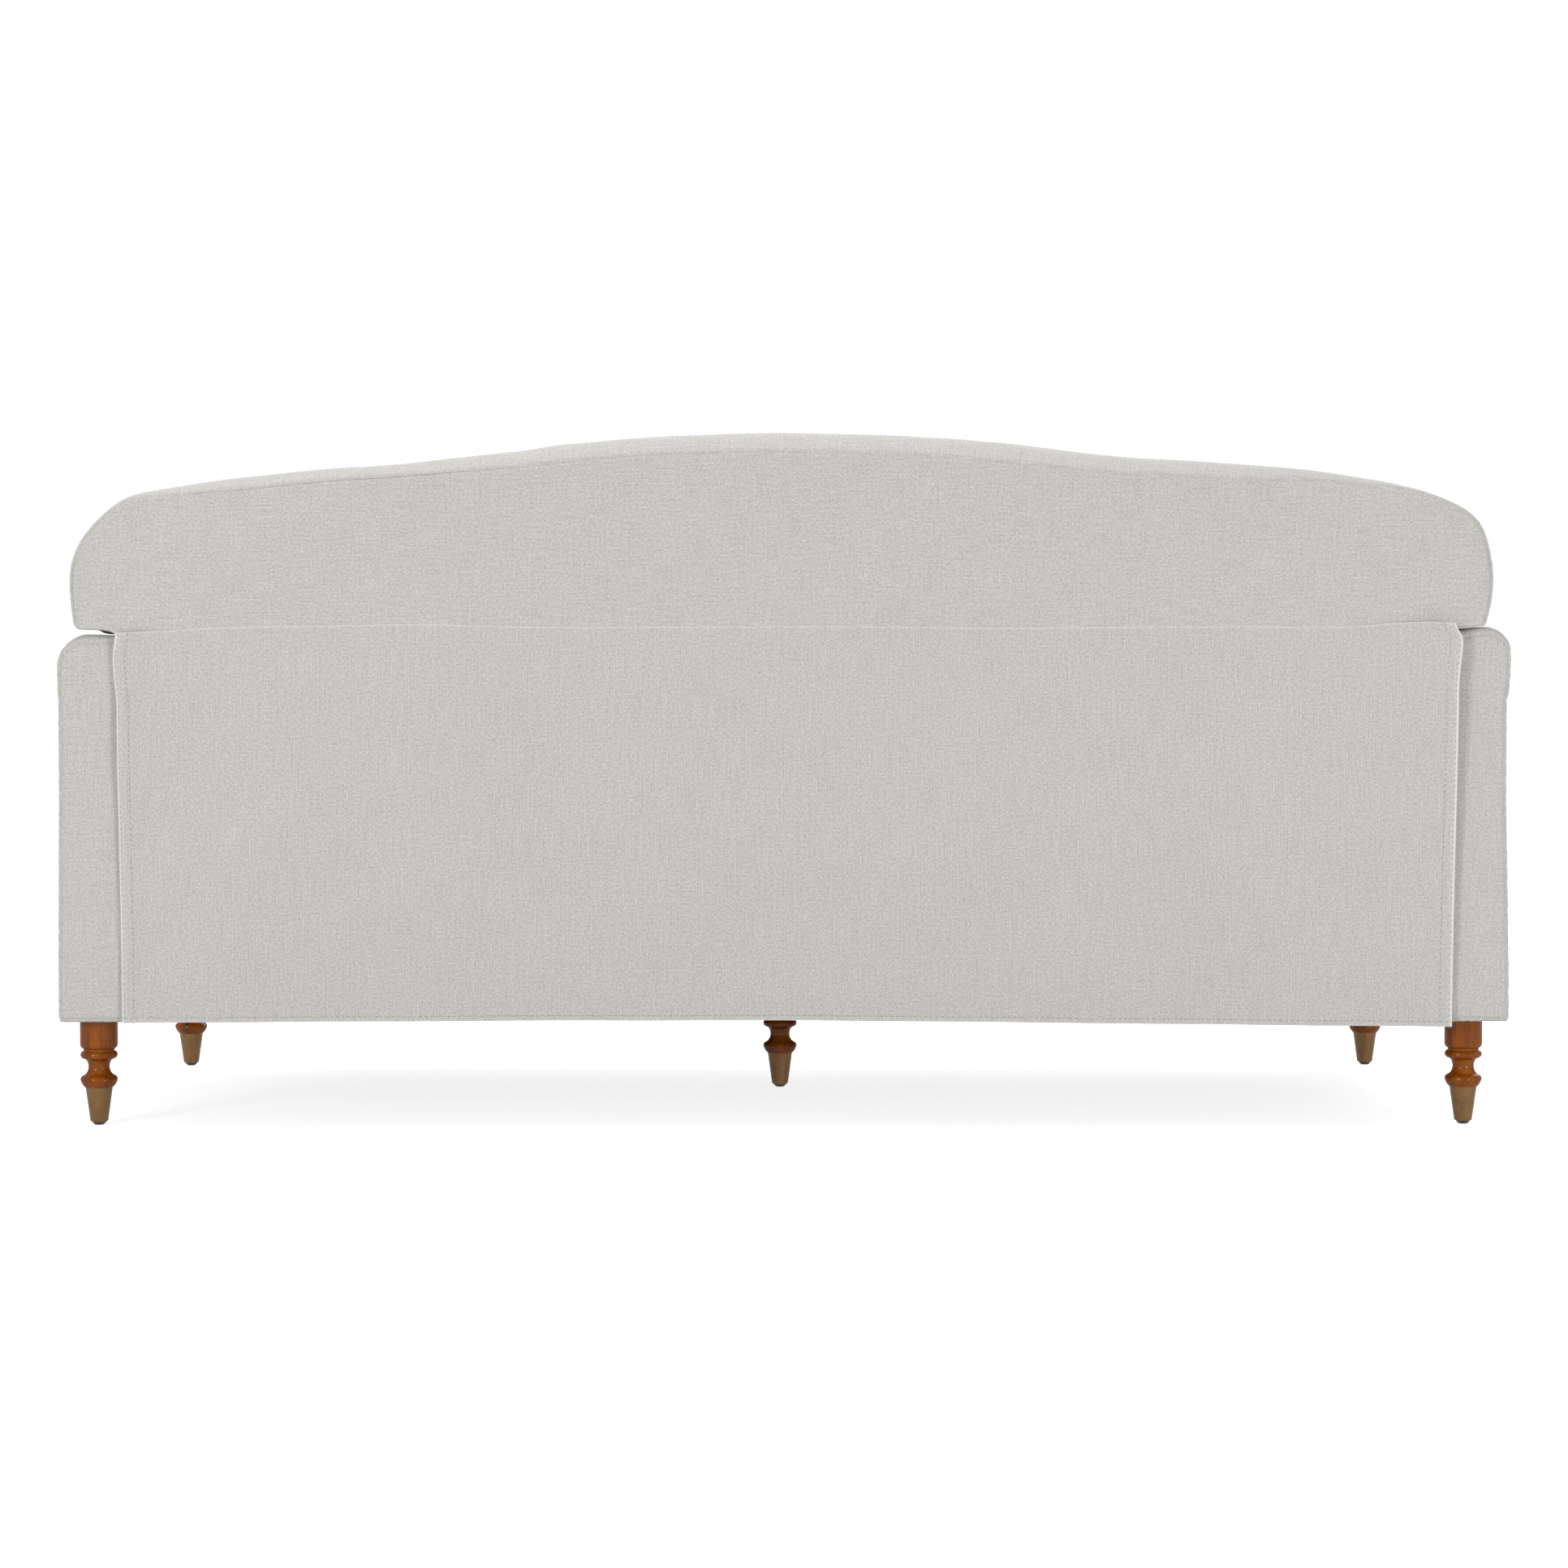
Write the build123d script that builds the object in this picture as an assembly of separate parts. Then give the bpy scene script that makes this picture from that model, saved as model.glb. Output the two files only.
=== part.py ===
from build123d import *
import os
from math import radians, tan

# Two-seat loveseat with a camel-shaped back, low padded arms, turned legs in brass cups,
# loose seat cushions and a cloth flap that hangs over the open rear of the frame.
# Millimetres. +Z is up, the sitter faces -Y, and the origin is on the floor under the middle.
# Left is -X and right is +X, as seen by someone who faces the front.

# Overall driving dimensions
seat_width = 1600.0            # between the inner faces of the arms
body_depth = 848.0             # front border to the rear face of the arms
leg_height = 142.0             # floor to the underside of the body
deck_height = 332.0            # floor to the deck that carries the cushions
arm_height = 630.0             # floor to the top of the arms
head_height = 249.0            # underside of the wings to the top of the hump
back_thickness = 259.0         # front face of the back at the seat to the rear face of the arms

# Cloth and clearances
cover_thickness = 4.0          # cloth with the wadding that is bonded to it
touch_gap = 0.4                # between soft faces on pieces that move apart
side_gap = 4.0                 # back to arm, each side
cut_margin = 2.0               # a cut runs this far past the face that it opens

# Arms
arm_width = 112.0
arm_roll_radius = 50.0         # padded roll along the outer top edge
arm_swell = 5.0                # how far the roll stands proud of the outer face
arm_inner_radius = 40.0        # inner top edge
arm_foot_radius = 8.0          # bottom edges
arm_crease_radius = 12.0       # under the roll
arm_end_radius = 6.0           # front and rear edges
arm_side_foam = 4.0
arm_top_foam = 31.0
arm_rail_height = 40.0         # bottom rail, which takes the legs
arm_top_rail_height = 25.0
arm_post_depth = 70.0
arm_end_foam = 8.0

# Base frame
rail_thickness = 24.0
rail_bottom_lift = 4.0         # rails stand this far above the underside
webbing_thickness = 2.0
webbing_width = 60.0
webbing_pitch = 150.0
webbing_end_inset = 3.0
deck_thickness = 12.0
deck_rear_gap = 5.0            # deck to the front face of the back
centre_rail_width = 60.0
centre_rail_height = 64.0
corner_block_leg = 70.0
corner_block_gap = 6.0         # under the catches
front_border_thickness = 6.0
front_border_radius = 4.0
dust_cloth_thickness = 1.0

# Legs
leg_block_radius = 24.0
leg_inset_side = 39.0          # leg axis from the outer face of the arm
leg_inset_front = 56.0         # leg axis from the front border
leg_inset_rear = 52.0          # leg axis from the rear face of the arm
centre_leg_forward = 70.0      # centre leg axis in front of the middle
cup_bottom_radius = 11.2
cup_top_radius = 17.2
cup_wall = 1.2
cup_base = 4.0                 # floor to the underside of the cup
cup_top = 48.0                 # heights from here on are above the floor
bead_foot_radius = 18.0        # the wood steps out over the cup's rim
bead_radius = 23.6
bead_sagitta = 0.8             # how round the beads are underneath
crest_sagitta = 0.9            # how round they are past their widest
shoulder_radius = 20.2         # where a bead turns into the hollow beside it
hollow_sagitta = 1.0
lower_bead = 57.8
lower_bead_shoulder = 63.0
lower_bead_top = 69.4
neck_end_radius = 14.4         # where the hollows run into the neck
neck_sagitta = 0.9
upper_bead_foot = 79.6
upper_bead_shoulder = 84.8
upper_bead = 89.8
collar_radius = 19.8           # groove between the upper bead and the block
collar_foot = 94.6
collar_top = 97.0
collar_sagitta = 0.9
block_start = 103.0
glide_radius = 8.6
glide_pin_radius = 1.6
glide_pin_length = 16.0
glide_chamfer = 3.0
hanger_radius = 4.0
hanger_in_leg = 34.0
hanger_in_rail = 30.0
tee_nut_barrel_radius = 5.6
tee_nut_barrel_length = 12.0
tee_nut_flange_radius = 12.0
tee_nut_flange_thickness = 1.6

# Bolts that hold the arms to the base
bolt_radius = 4.0
bolt_clearance = 0.4
bolt_head_radius = 9.0
bolt_head_height = 5.0
bolt_in_post = 50.0
bolt_drops = (26.0, 68.0)      # top of the rail down to the bolts
bolt_from_front = 44.0         # front of the arm's frame to the bolts in the front post
bolt_from_rear = 50.0

# Back
wing_gap = 6.0                 # arm top to the underside of the wings
wing_overlap = 98.0            # wing past the inner face of the arm
hump_half_width = 280.0
hump_drop = 15.0               # top of the hump down to the end of its arc
shoulder_inset = 258.0         # from the wing's side, where the slope turns over
shoulder_drop = 48.5
corner_inset = 96.0            # from the wing's side, where the corner starts
corner_drop = 73.0
wing_draw_in = 6.0             # underside of the wing in from its widest
head_proud = 4.8               # rear face of the head past the rear face of the arms
rake_rise = 138.0              # deck to where the front face starts to lean
rake_angle = 15.0
head_front_radius = 40.0
head_rear_radius = 20.0
back_lift = 2.0                # deck height to the underside of the back

# Back frame
post_width = 60.0
post_depth = 30.0
post_inset = 36.0              # rear face of the arms to the posts
post_top_drop = 95.0           # top of the hump down to the tops of the posts
back_bottom_rail_height = 60.0
head_board_thickness = 25.0
head_board_inset = 45.0        # head outline to head board outline
head_board_foot = 12.0         # underside of the wings to the head board
back_webbing_pitch = 70.0

# Hook plates on the back and the catches in the base
hook_thickness = 4.0
hook_width = 34.0
hook_above = 110.0             # on the post
hook_below = 102.0             # under the post
hook_tip_chamfer = 8.0
hook_clearance = 0.4
catch_wall = 2.5
catch_lip = 9.0
catch_height = 84.0
catch_to_rail = 4.0            # to the side rail

# Flap and its hook-and-loop tapes
flap_overlap_top = 43.0        # flap past the inner face of the arm
flap_overlap_bottom = 38.5
flap_thickness = 2.2
flap_standoff = 3.5            # rear face of the arm to the flap
flap_bottom = 137.0            # floor to the hem
flap_fold_count = 6
flap_folds_hem = (4.4, 1.5)    # depths of the wide and the slight folds, in turn
flap_folds_top = (0.4, 0.2)
flap_flat_edge = 45.0          # side strip without folds, where the tape is sewn
tape_width = 16.0
tape_thickness = 1.5
tape_edge_inset = 3.0          # outer edge of the flap at the hem to the tape
tape_end_inset = 26.0

# Seat cushions
cushion_front_overhang = 11.0  # past the front border
cushion_side_gap = 3.0         # to the arm
cushion_middle_gap = 3.0       # between the two
cushion_rear_gap = 3.0         # to the back
cushion_boxing = 122.0         # height of the side panel
cushion_crown = 30.0
cushion_seam_inset = 6.0       # seams lie this far inside the fullest line
cushion_draw_in = 7.0          # how far the sides pull in between the corners
cushion_crown_steps = ((0.45, 46.0), (0.80, 130.0), (1.0, 240.0))  # share of crown, inset

# Places that follow from the driving dimensions
half_seat = seat_width / 2
arm_outer = half_seat + arm_width
body_front = -body_depth / 2
body_rear = body_depth / 2
rail_bottom = leg_height + rail_bottom_lift
rail_top = deck_height - deck_thickness - webbing_thickness
catch_top = rail_top - webbing_thickness
catch_bottom = catch_top - catch_height
post_rear = body_rear - post_inset
hook_rear = post_rear + hook_thickness
catch_face = hook_rear + hook_clearance
rear_rail_front = catch_face + catch_wall
front_rail_front = body_front + front_border_thickness
front_rail_rear = front_rail_front + rail_thickness
rear_rail_rear = rear_rail_front + rail_thickness
hook_x = half_seat - rail_thickness - catch_to_rail - catch_wall - hook_clearance - hook_width / 2
wing_bottom = arm_height + wing_gap
back_height = wing_bottom + head_height
back_front = body_rear - back_thickness
head_rear = body_rear + head_proud
rake_start = deck_height + rake_rise
deck_rear = back_front - deck_rear_gap
head_half = half_seat + wing_overlap
back_half = half_seat - side_gap
back_bottom = deck_height + back_lift
post_front = post_rear - post_depth
post_top = back_height - post_top_drop
frame_bottom = back_bottom + back_lift
side_post_foot = rail_top + touch_gap
flap_inner = body_rear + flap_standoff
flap_outer = flap_inner + flap_thickness
flap_top = wing_bottom - touch_gap
tape_front = body_rear + tape_thickness + touch_gap
leg_front_y = body_front + leg_inset_front
leg_rear_y = body_rear - leg_inset_rear
leg_x = arm_outer - leg_inset_side
sides = {"left": -1, "right": 1}
leg_places = {
    "rear_left": (-leg_x, leg_rear_y),
    "rear_right": (leg_x, leg_rear_y),
    "front_left": (-leg_x, leg_front_y),
    "front_right": (leg_x, leg_front_y),
    "centre": (0.0, -centre_leg_forward),
}


def block(x0, x1, y0, y1, z0, z1):
    """A box between two corners, given in any order along each axis."""
    size = (abs(x1 - x0), abs(y1 - y0), abs(z1 - z0))
    middle = ((x0 + x1) / 2, (y0 + y1) / 2, (z0 + z1) / 2)
    return Pos(*middle) * Box(*size)


def on_side(part, sign):
    """A part modelled on the right, moved to the side that the sign gives."""
    return part if sign > 0 else mirror(part, about=Plane.YZ)


def along_x(radius, x0, x1, y, z):
    """A round bar along X."""
    return Pos((x0 + x1) / 2, y, z) * Rot(0, 90, 0) * Cylinder(radius, abs(x1 - x0))


def along_z(radius, z0, z1, x=0.0, y=0.0):
    """A round bar along Z."""
    return Pos(x, y, (z0 + z1) / 2) * Cylinder(radius, z1 - z0)


# Legs, cups, glides and the screws that hold them

def turned_leg():
    """Turned wooden leg on the Z axis, from its spigot in the cup up to the body."""
    spigot_foot = cup_base + cup_wall
    with BuildPart() as leg:
        with BuildSketch(Plane.XZ):
            with BuildLine():
                spigot = Polyline(
                    (0, spigot_foot),
                    (cup_bottom_radius - cup_wall, spigot_foot),
                    (cup_top_radius - cup_wall, cup_top),
                    (bead_foot_radius, cup_top),
                )
                bead = SagittaArc(spigot @ 1, (bead_radius, lower_bead), -bead_sagitta)
                bead = SagittaArc(bead @ 1, (shoulder_radius, lower_bead_shoulder), -crest_sagitta)
                hollow = SagittaArc(bead @ 1, (neck_end_radius, lower_bead_top), hollow_sagitta)
                neck = SagittaArc(hollow @ 1, (neck_end_radius, upper_bead_foot), neck_sagitta)
                hollow = SagittaArc(neck @ 1, (shoulder_radius, upper_bead_shoulder), hollow_sagitta)
                bead = SagittaArc(hollow @ 1, (bead_radius, upper_bead), -crest_sagitta)
                bead = SagittaArc(bead @ 1, (collar_radius, collar_foot), -collar_sagitta)
                groove = Line(bead @ 1, (collar_radius, collar_top))
                swell = SagittaArc(groove @ 1, (leg_block_radius, block_start), -collar_sagitta)
                Polyline(swell @ 1, (leg_block_radius, leg_height), (0, leg_height), (0, spigot_foot))
            make_face()
        revolve(axis=Axis.Z)
    pin_hole = along_z(glide_pin_radius, spigot_foot, cup_base + glide_pin_length)
    screw_hole = along_z(hanger_radius, leg_height - hanger_in_leg, leg_height)
    return leg.part - pin_hole - screw_hole


def brass_cup():
    """Tapered cup on the foot of a leg."""
    with BuildPart() as cup:
        with BuildSketch(Plane.XZ):
            with BuildLine():
                Polyline(
                    (glide_pin_radius, cup_base),
                    (cup_bottom_radius - cup_wall, cup_base),
                    (cup_bottom_radius, cup_base + cup_wall),
                    (cup_top_radius, cup_top),
                    (cup_top_radius - cup_wall, cup_top),
                    (cup_bottom_radius - cup_wall, cup_base + cup_wall),
                    (glide_pin_radius, cup_base + cup_wall),
                    (glide_pin_radius, cup_base),
                )
            make_face()
        revolve(axis=Axis.Z)
    return cup.part


def floor_glide():
    """Nail-in glide: a domed foot, flat underneath, and its pin."""
    foot = along_z(glide_radius, 0, cup_base)
    foot = chamfer(foot.edges().group_by(Axis.Z)[0], glide_chamfer)
    return foot + along_z(glide_pin_radius, cup_base, cup_base + glide_pin_length)


def hanger_bolt():
    """Screw from the leg up into its rail."""
    return along_z(hanger_radius, leg_height - hanger_in_leg, leg_height + hanger_in_rail)


def tee_nut():
    """Nut that is pressed into the underside of the rail, round the hanger bolt."""
    barrel = along_z(tee_nut_barrel_radius, leg_height, leg_height + tee_nut_barrel_length)
    flange = along_z(tee_nut_flange_radius, leg_height, leg_height + tee_nut_flange_thickness)
    return barrel + flange - along_z(hanger_radius, leg_height, leg_height + tee_nut_barrel_length)


def leg_socket(x, y):
    """Room in a rail for one tee nut and hanger bolt."""
    nut = tee_nut() + hanger_bolt()
    return Pos(x, y, 0) * (nut & along_z(tee_nut_flange_radius, leg_height, leg_height + hanger_in_rail))


# Arms, modelled on the right

def arm_profile():
    """Section of the arm: a slab with a round inner top edge and a roll on the outer one."""
    slab_height = arm_height - leg_height
    with BuildSketch(Plane.XZ) as profile:
        with Locations((half_seat + arm_width / 2, leg_height + slab_height / 2)):
            Rectangle(arm_width, slab_height)
        fillet(profile.vertices().group_by(Axis.Y)[0], arm_foot_radius)
        upper = profile.vertices().group_by(Axis.Y)[-1]
        fillet(upper.sort_by(Axis.X)[0], arm_inner_radius)
        fillet(profile.vertices().group_by(Axis.Y)[-1].sort_by(Axis.X)[-1], arm_roll_radius - arm_swell)
        with Locations((arm_outer + arm_swell - arm_roll_radius, arm_height - arm_roll_radius)):
            Circle(arm_roll_radius)
        crease = profile.vertices().filter_by_position(Axis.X, arm_outer - 0.01, arm_outer + 0.01)
        fillet(crease.sort_by(Axis.Y)[-1], arm_crease_radius)
    return profile.sketch


def arm_form():
    """Outer shape of the upholstered arm."""
    form = extrude(Pos(0, body_rear, 0) * arm_profile(), body_depth, dir=(0, -1, 0))
    ends = form.edges().filter_by_position(Axis.Y, body_front - 0.01, body_front + 0.01)
    ends += form.edges().filter_by_position(Axis.Y, body_rear - 0.01, body_rear + 0.01)
    return fillet(ends, arm_end_radius)


def arm_inside():
    """Space inside the arm's cover, open at the bottom."""
    section = offset(arm_profile(), -cover_thickness)
    depth = body_depth - 2 * cover_thickness
    core = extrude(Pos(0, body_rear - cover_thickness, 0) * section, depth, dir=(0, -1, 0))
    foot = block(
        half_seat + cover_thickness, arm_outer - cover_thickness,
        body_front + cover_thickness, body_rear - cover_thickness,
        leg_height, leg_height + arm_foot_radius + cover_thickness,
    )
    return core + foot


arm_frame_inner = half_seat + cover_thickness + arm_side_foam
arm_frame_outer = arm_outer - cover_thickness - arm_side_foam
arm_frame_front = body_front + cover_thickness + arm_end_foam
arm_frame_rear = body_rear - cover_thickness - arm_end_foam
arm_top_rail_top = arm_height - cover_thickness - arm_top_foam
arm_top_rail_bottom = arm_top_rail_top - arm_top_rail_height
arm_bottom_rail_top = leg_height + arm_rail_height
arm_bolt_depths = (arm_frame_front + bolt_from_front, arm_frame_rear - bolt_from_rear)
arm_bolt_heights = [rail_top - drop for drop in bolt_drops]


def arm_board(y0, y1, z0, z1):
    """A board as wide as the arm's frame."""
    return block(arm_frame_inner, arm_frame_outer, y0, y1, z0, z1)


def arm_bolt_places():
    """Heights and depths of the bolts through one arm."""
    return [(y, z) for y in arm_bolt_depths for z in arm_bolt_heights]


def arm_bolt(y, z):
    """Bolt from inside the base into the arm's post."""
    head_face = half_seat - rail_thickness
    shank = along_x(bolt_radius, head_face, arm_frame_inner + bolt_in_post, y, z)
    head = along_x(bolt_head_radius, head_face - bolt_head_height, head_face, y, z)
    return shank + head


def arm_bolt_room():
    """Holes for the bolts of one arm, with clearance."""
    reach = arm_frame_inner + bolt_in_post
    bars = [
        along_x(bolt_radius + bolt_clearance, half_seat - rail_thickness, reach, y, z)
        for y, z in arm_bolt_places()
    ]
    return Part() + bars


def arm_pieces():
    """The pieces of the right arm, by name."""
    inside = arm_inside()
    holes = arm_bolt_room()
    threads = Part() + [
        along_x(bolt_radius, arm_frame_inner, arm_frame_inner + bolt_in_post, y, z)
        for y, z in arm_bolt_places()
    ]
    sockets = leg_socket(leg_x, leg_rear_y) + leg_socket(leg_x, leg_front_y)
    post_range = (arm_bottom_rail_top, arm_top_rail_bottom)
    front = (arm_frame_front, arm_frame_front + arm_post_depth)
    rear = (arm_frame_rear - arm_post_depth, arm_frame_rear)
    bottom_rail = arm_board(arm_frame_front, arm_frame_rear, leg_height, arm_bottom_rail_top)
    top_rail = arm_board(arm_frame_front, arm_frame_rear, arm_top_rail_bottom, arm_top_rail_top)
    whole_frame = arm_board(arm_frame_front, arm_frame_rear, leg_height, arm_top_rail_top)
    return {
        "arm_bottom_rail": bottom_rail - sockets,
        "arm_front_post": arm_board(*front, *post_range) - threads,
        "arm_rear_post": arm_board(*rear, *post_range) - threads,
        "arm_top_rail": top_rail,
        "arm_padding": inside - whole_frame - holes,
        "arm_cover": arm_form() - inside - holes,
    }


# Base frame

def base_rails():
    """Front, rear, side and centre rails of the seat frame."""
    long_front = block(-half_seat, half_seat, front_rail_front, front_rail_rear, rail_bottom, rail_top)
    long_rear = block(-half_seat, half_seat, rear_rail_front, rear_rail_rear, rail_bottom, rail_top)
    side = block(
        half_seat - rail_thickness, half_seat, front_rail_rear, rear_rail_front, rail_bottom, rail_top
    )
    side -= arm_bolt_room()
    half_centre = centre_rail_width / 2
    centre = block(
        -half_centre, half_centre, front_rail_rear, rear_rail_front,
        leg_height, leg_height + centre_rail_height,
    )
    return {
        "base_front_rail": long_front,
        "base_rear_rail": long_rear,
        "base_left_rail": on_side(side, sides["left"]),
        "base_right_rail": side,
        "base_centre_rail": centre - leg_socket(*leg_places["centre"]),
    }


def corner_blocks():
    """Three-sided blocks glued into the corners of the seat frame, under the catches."""
    inner = half_seat - rail_thickness
    height = catch_bottom - corner_block_gap - rail_bottom
    blocks = []
    for sign in sides.values():
        for y, step in ((front_rail_rear, 1), (rear_rail_front, -1)):
            corner = Polyline(
                (sign * inner, y),
                (sign * (inner - corner_block_leg), y),
                (sign * inner, y + step * corner_block_leg),
                close=True,
            )
            face = make_face(corner)
            blocks.append(extrude(Pos(0, 0, rail_bottom) * face, height, dir=(0, 0, 1)))
    return blocks


def seat_webbing():
    """Elastic straps from the front rail to the rear rail."""
    room = hook_x - hook_width - webbing_width / 2
    count = int(room / webbing_pitch + 0.5)
    places = [(i + 0.5) * webbing_pitch for i in range(count)]
    y0 = front_rail_front + webbing_end_inset
    y1 = rear_rail_rear - webbing_end_inset
    half = webbing_width / 2
    return [
        block(x - half, x + half, y0, y1, rail_top, rail_top + webbing_thickness)
        for x in sorted([-p for p in places] + places)
    ]


def seat_deck():
    """Felt deck in black cloth, on the straps and under the cushions."""
    return block(
        -half_seat + touch_gap, half_seat - touch_gap, front_rail_front, deck_rear,
        deck_height - deck_thickness, deck_height,
    )


def front_border():
    """Cloth over felt across the front rail, between the arms."""
    panel = block(
        -half_seat + touch_gap, half_seat - touch_gap, body_front, front_rail_front, leg_height, deck_height
    )
    return fillet(panel.edges().filter_by(Axis.X).group_by(Axis.Y)[0], front_border_radius)


def dust_cloth():
    """Thin black cloth stapled under the seat frame, cut round the centre rail."""
    half_centre = centre_rail_width / 2
    sheets = []
    for sign in sides.values():
        sheets.append(
            block(
                sign * half_centre, sign * (half_seat - touch_gap),
                front_rail_front, rear_rail_rear,
                rail_bottom - dust_cloth_thickness, rail_bottom,
            )
        )
    return sheets


def base_catches():
    """Steel channels on the rear rail that take the hook plates of the back."""
    inner_half = hook_width / 2 + hook_clearance
    outer_half = inner_half + catch_wall
    mouth_half = inner_half - catch_lip
    lip_face = post_rear - hook_clearance
    lip_front = lip_face - catch_wall
    heights = (catch_bottom, catch_top)
    channels = []
    for sign in sides.values():
        x = sign * hook_x
        body = block(x - outer_half, x + outer_half, lip_front, rear_rail_front, *heights)
        slot = block(x - inner_half, x + inner_half, lip_face, catch_face, *heights)
        mouth = block(x - mouth_half, x + mouth_half, lip_front, lip_face, *heights)
        channels.append(body - slot - mouth)
    return channels


# Back

def head_outline():
    """Camel outline of the head with its two wings, seen from the front."""
    shoulder = (head_half - shoulder_inset, back_height - shoulder_drop)
    corner = (head_half - corner_inset, back_height - corner_drop)
    foot = head_half - wing_draw_in
    with BuildSketch(Plane.XZ) as outline:
        with BuildLine():
            hump = ThreePointArc(
                (-hump_half_width, back_height - hump_drop), (0, back_height),
                (hump_half_width, back_height - hump_drop),
            )
            slope = TangentArc(hump @ 1, shoulder, tangent=hump % 1)
            turn = TangentArc(slope @ 1, corner, tangent=slope % 1)
            way = turn % 1
            side_top = corner[1] - corner_inset * way.X / (1 + way.Y)
            round_over = TangentArc(turn @ 1, (head_half, side_top), tangent=way)
            side = TangentArc(round_over @ 1, (foot, wing_bottom), tangent=round_over % 1)
            Line(side @ 1, (0, wing_bottom))
            mirror_slope = TangentArc(hump @ 0, (-shoulder[0], shoulder[1]), tangent=-(hump % 0))
            mirror_turn = TangentArc(mirror_slope @ 1, (-corner[0], corner[1]), tangent=mirror_slope % 1)
            mirror_round = TangentArc(mirror_turn @ 1, (-head_half, side_top), tangent=mirror_turn % 1)
            mirror_side = TangentArc(mirror_round @ 1, (-foot, wing_bottom), tangent=mirror_round % 1)
            Line(mirror_side @ 1, (0, wing_bottom))
        make_face()
    return outline.sketch


def front_slab(inset, rear, bottom):
    """Full-width slab with the leaning front face of the back, cut to a rear face and a bottom."""
    top = back_height + head_front_radius
    lean = (top - rake_start) * tan(radians(rake_angle))
    front = back_front + inset
    reach = head_half * 2
    with BuildPart() as slab:
        with BuildSketch(Plane.YZ):
            with BuildLine():
                Polyline(
                    (front, bottom), (front, rake_start), (front + lean, top),
                    (rear, top), (rear, bottom), close=True,
                )
            make_face()
        extrude(amount=reach, both=True)
    return slab.part


def head_form(inset):
    """Head of the back, with wings over the arms and soft edges; inset draws every face in."""
    outline = head_outline() if inset == 0 else offset(head_outline(), -inset, kind=Kind.INTERSECTION)
    rear = head_rear - inset
    prism = extrude(Pos(0, rear, 0) * outline, head_rear * 2, dir=(0, -1, 0))
    head = prism & front_slab(inset, rear, leg_height)
    foot = wing_bottom + inset + cut_margin
    rear_edges = head.edges().filter_by_position(Axis.Y, rear - 0.01, rear + 0.01)
    head = fillet(rear_edges.filter_by(lambda edge: edge.center().Z > foot), head_rear_radius - inset)
    leaning = head.faces().filter_by(lambda face: face.normal_at().Y < -0.9).sort_by(SortBy.AREA)[-1]
    front_edges = leaning.edges().filter_by(lambda edge: edge.center().Z > foot)
    return fillet(front_edges, head_front_radius - inset)


def lower_form(inset, bottom):
    """Lower part of the back, between the arms and in front of the posts."""
    half = back_half - inset
    span = block(-half, half, back_front, post_rear, bottom, wing_bottom + inset)
    return span & front_slab(inset, post_rear, bottom - cut_margin)


def back_posts():
    """Two side posts, which stand on the base's side rails, and a middle post."""
    side_x = back_half - cover_thickness
    half = post_width / 2
    spans = {
        "back_left_post": (-side_x, -side_x + post_width, side_post_foot),
        "back_centre_post": (-half, half, frame_bottom),
        "back_right_post": (side_x - post_width, side_x, side_post_foot),
    }
    return {
        name: block(x0, x1, post_front, post_rear, foot, post_top)
        for name, (x0, x1, foot) in spans.items()
    }


def back_bottom_rail():
    """Rail between the feet of the posts, in two lengths."""
    outer = back_half - cover_thickness - post_width
    inner = post_width / 2
    top = frame_bottom + back_bottom_rail_height
    return [
        block(sign * inner, sign * outer, post_front, post_rear, frame_bottom, top)
        for sign in sides.values()
    ]


def head_board():
    """Camel-shaped board behind the posts that carries the head and its wings."""
    outline = offset(head_outline(), -head_board_inset)
    rear = post_rear + head_board_thickness
    board = extrude(Pos(0, rear, 0) * outline, head_board_thickness, dir=(0, -1, 0))
    reach = head_half - head_board_inset
    bottom = wing_bottom + head_board_foot
    return board + block(-reach, reach, post_rear, rear, bottom, wing_bottom + 2 * head_board_inset)


def back_webbing():
    """Elastic straps across the fronts of the posts."""
    reach = back_half - cover_thickness - webbing_end_inset
    first = frame_bottom + back_bottom_rail_height / 2
    half = webbing_width / 2
    count = int((wing_bottom - half - first) // back_webbing_pitch) + 1
    middles = [first + i * back_webbing_pitch for i in range(count)]
    return [
        block(-reach, reach, post_front - webbing_thickness, post_front, z - half, z + half)
        for z in middles
    ]


def hook_plates():
    """Steel plates on the rear of the side posts; their tails drop into the catches."""
    plates = []
    for sign in sides.values():
        x = sign * hook_x
        half = hook_width / 2
        plate = block(
            x - half, x + half, post_rear, hook_rear, frame_bottom - hook_below, frame_bottom + hook_above
        )
        tips = plate.edges().filter_by(Axis.Y).group_by(Axis.Z)[0]
        plates.append(chamfer(tips, hook_tip_chamfer))
    return plates


def back_pieces():
    """The pieces of the back, by name."""
    posts = back_posts()
    board = head_board()
    straps = back_webbing()
    lower_inside = lower_form(cover_thickness, back_bottom - cut_margin)
    head_inside = head_form(cover_thickness)
    frame = Part() + list(posts.values()) + [board]
    foam_rear = post_front - webbing_thickness
    behind_foam = block(-head_half, head_half, foam_rear, head_rear, back_bottom - cut_margin, wing_bottom)
    seam = wing_bottom + cover_thickness
    lower_foam = lower_inside & block(-head_half, head_half, back_front, foam_rear, back_bottom, seam)
    cover = head_form(0) + lower_form(0, back_bottom) - head_inside - lower_inside - behind_foam
    return {
        **posts,
        "back_bottom_rail": back_bottom_rail(),
        "back_head_board": board,
        "back_webbing": straps,
        "back_lower_padding": lower_foam,
        "back_head_padding": head_inside - frame,
        "back_cover": cover,
        "back_hook_plates": hook_plates(),
    }


# Flap over the open rear of the frame

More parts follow.
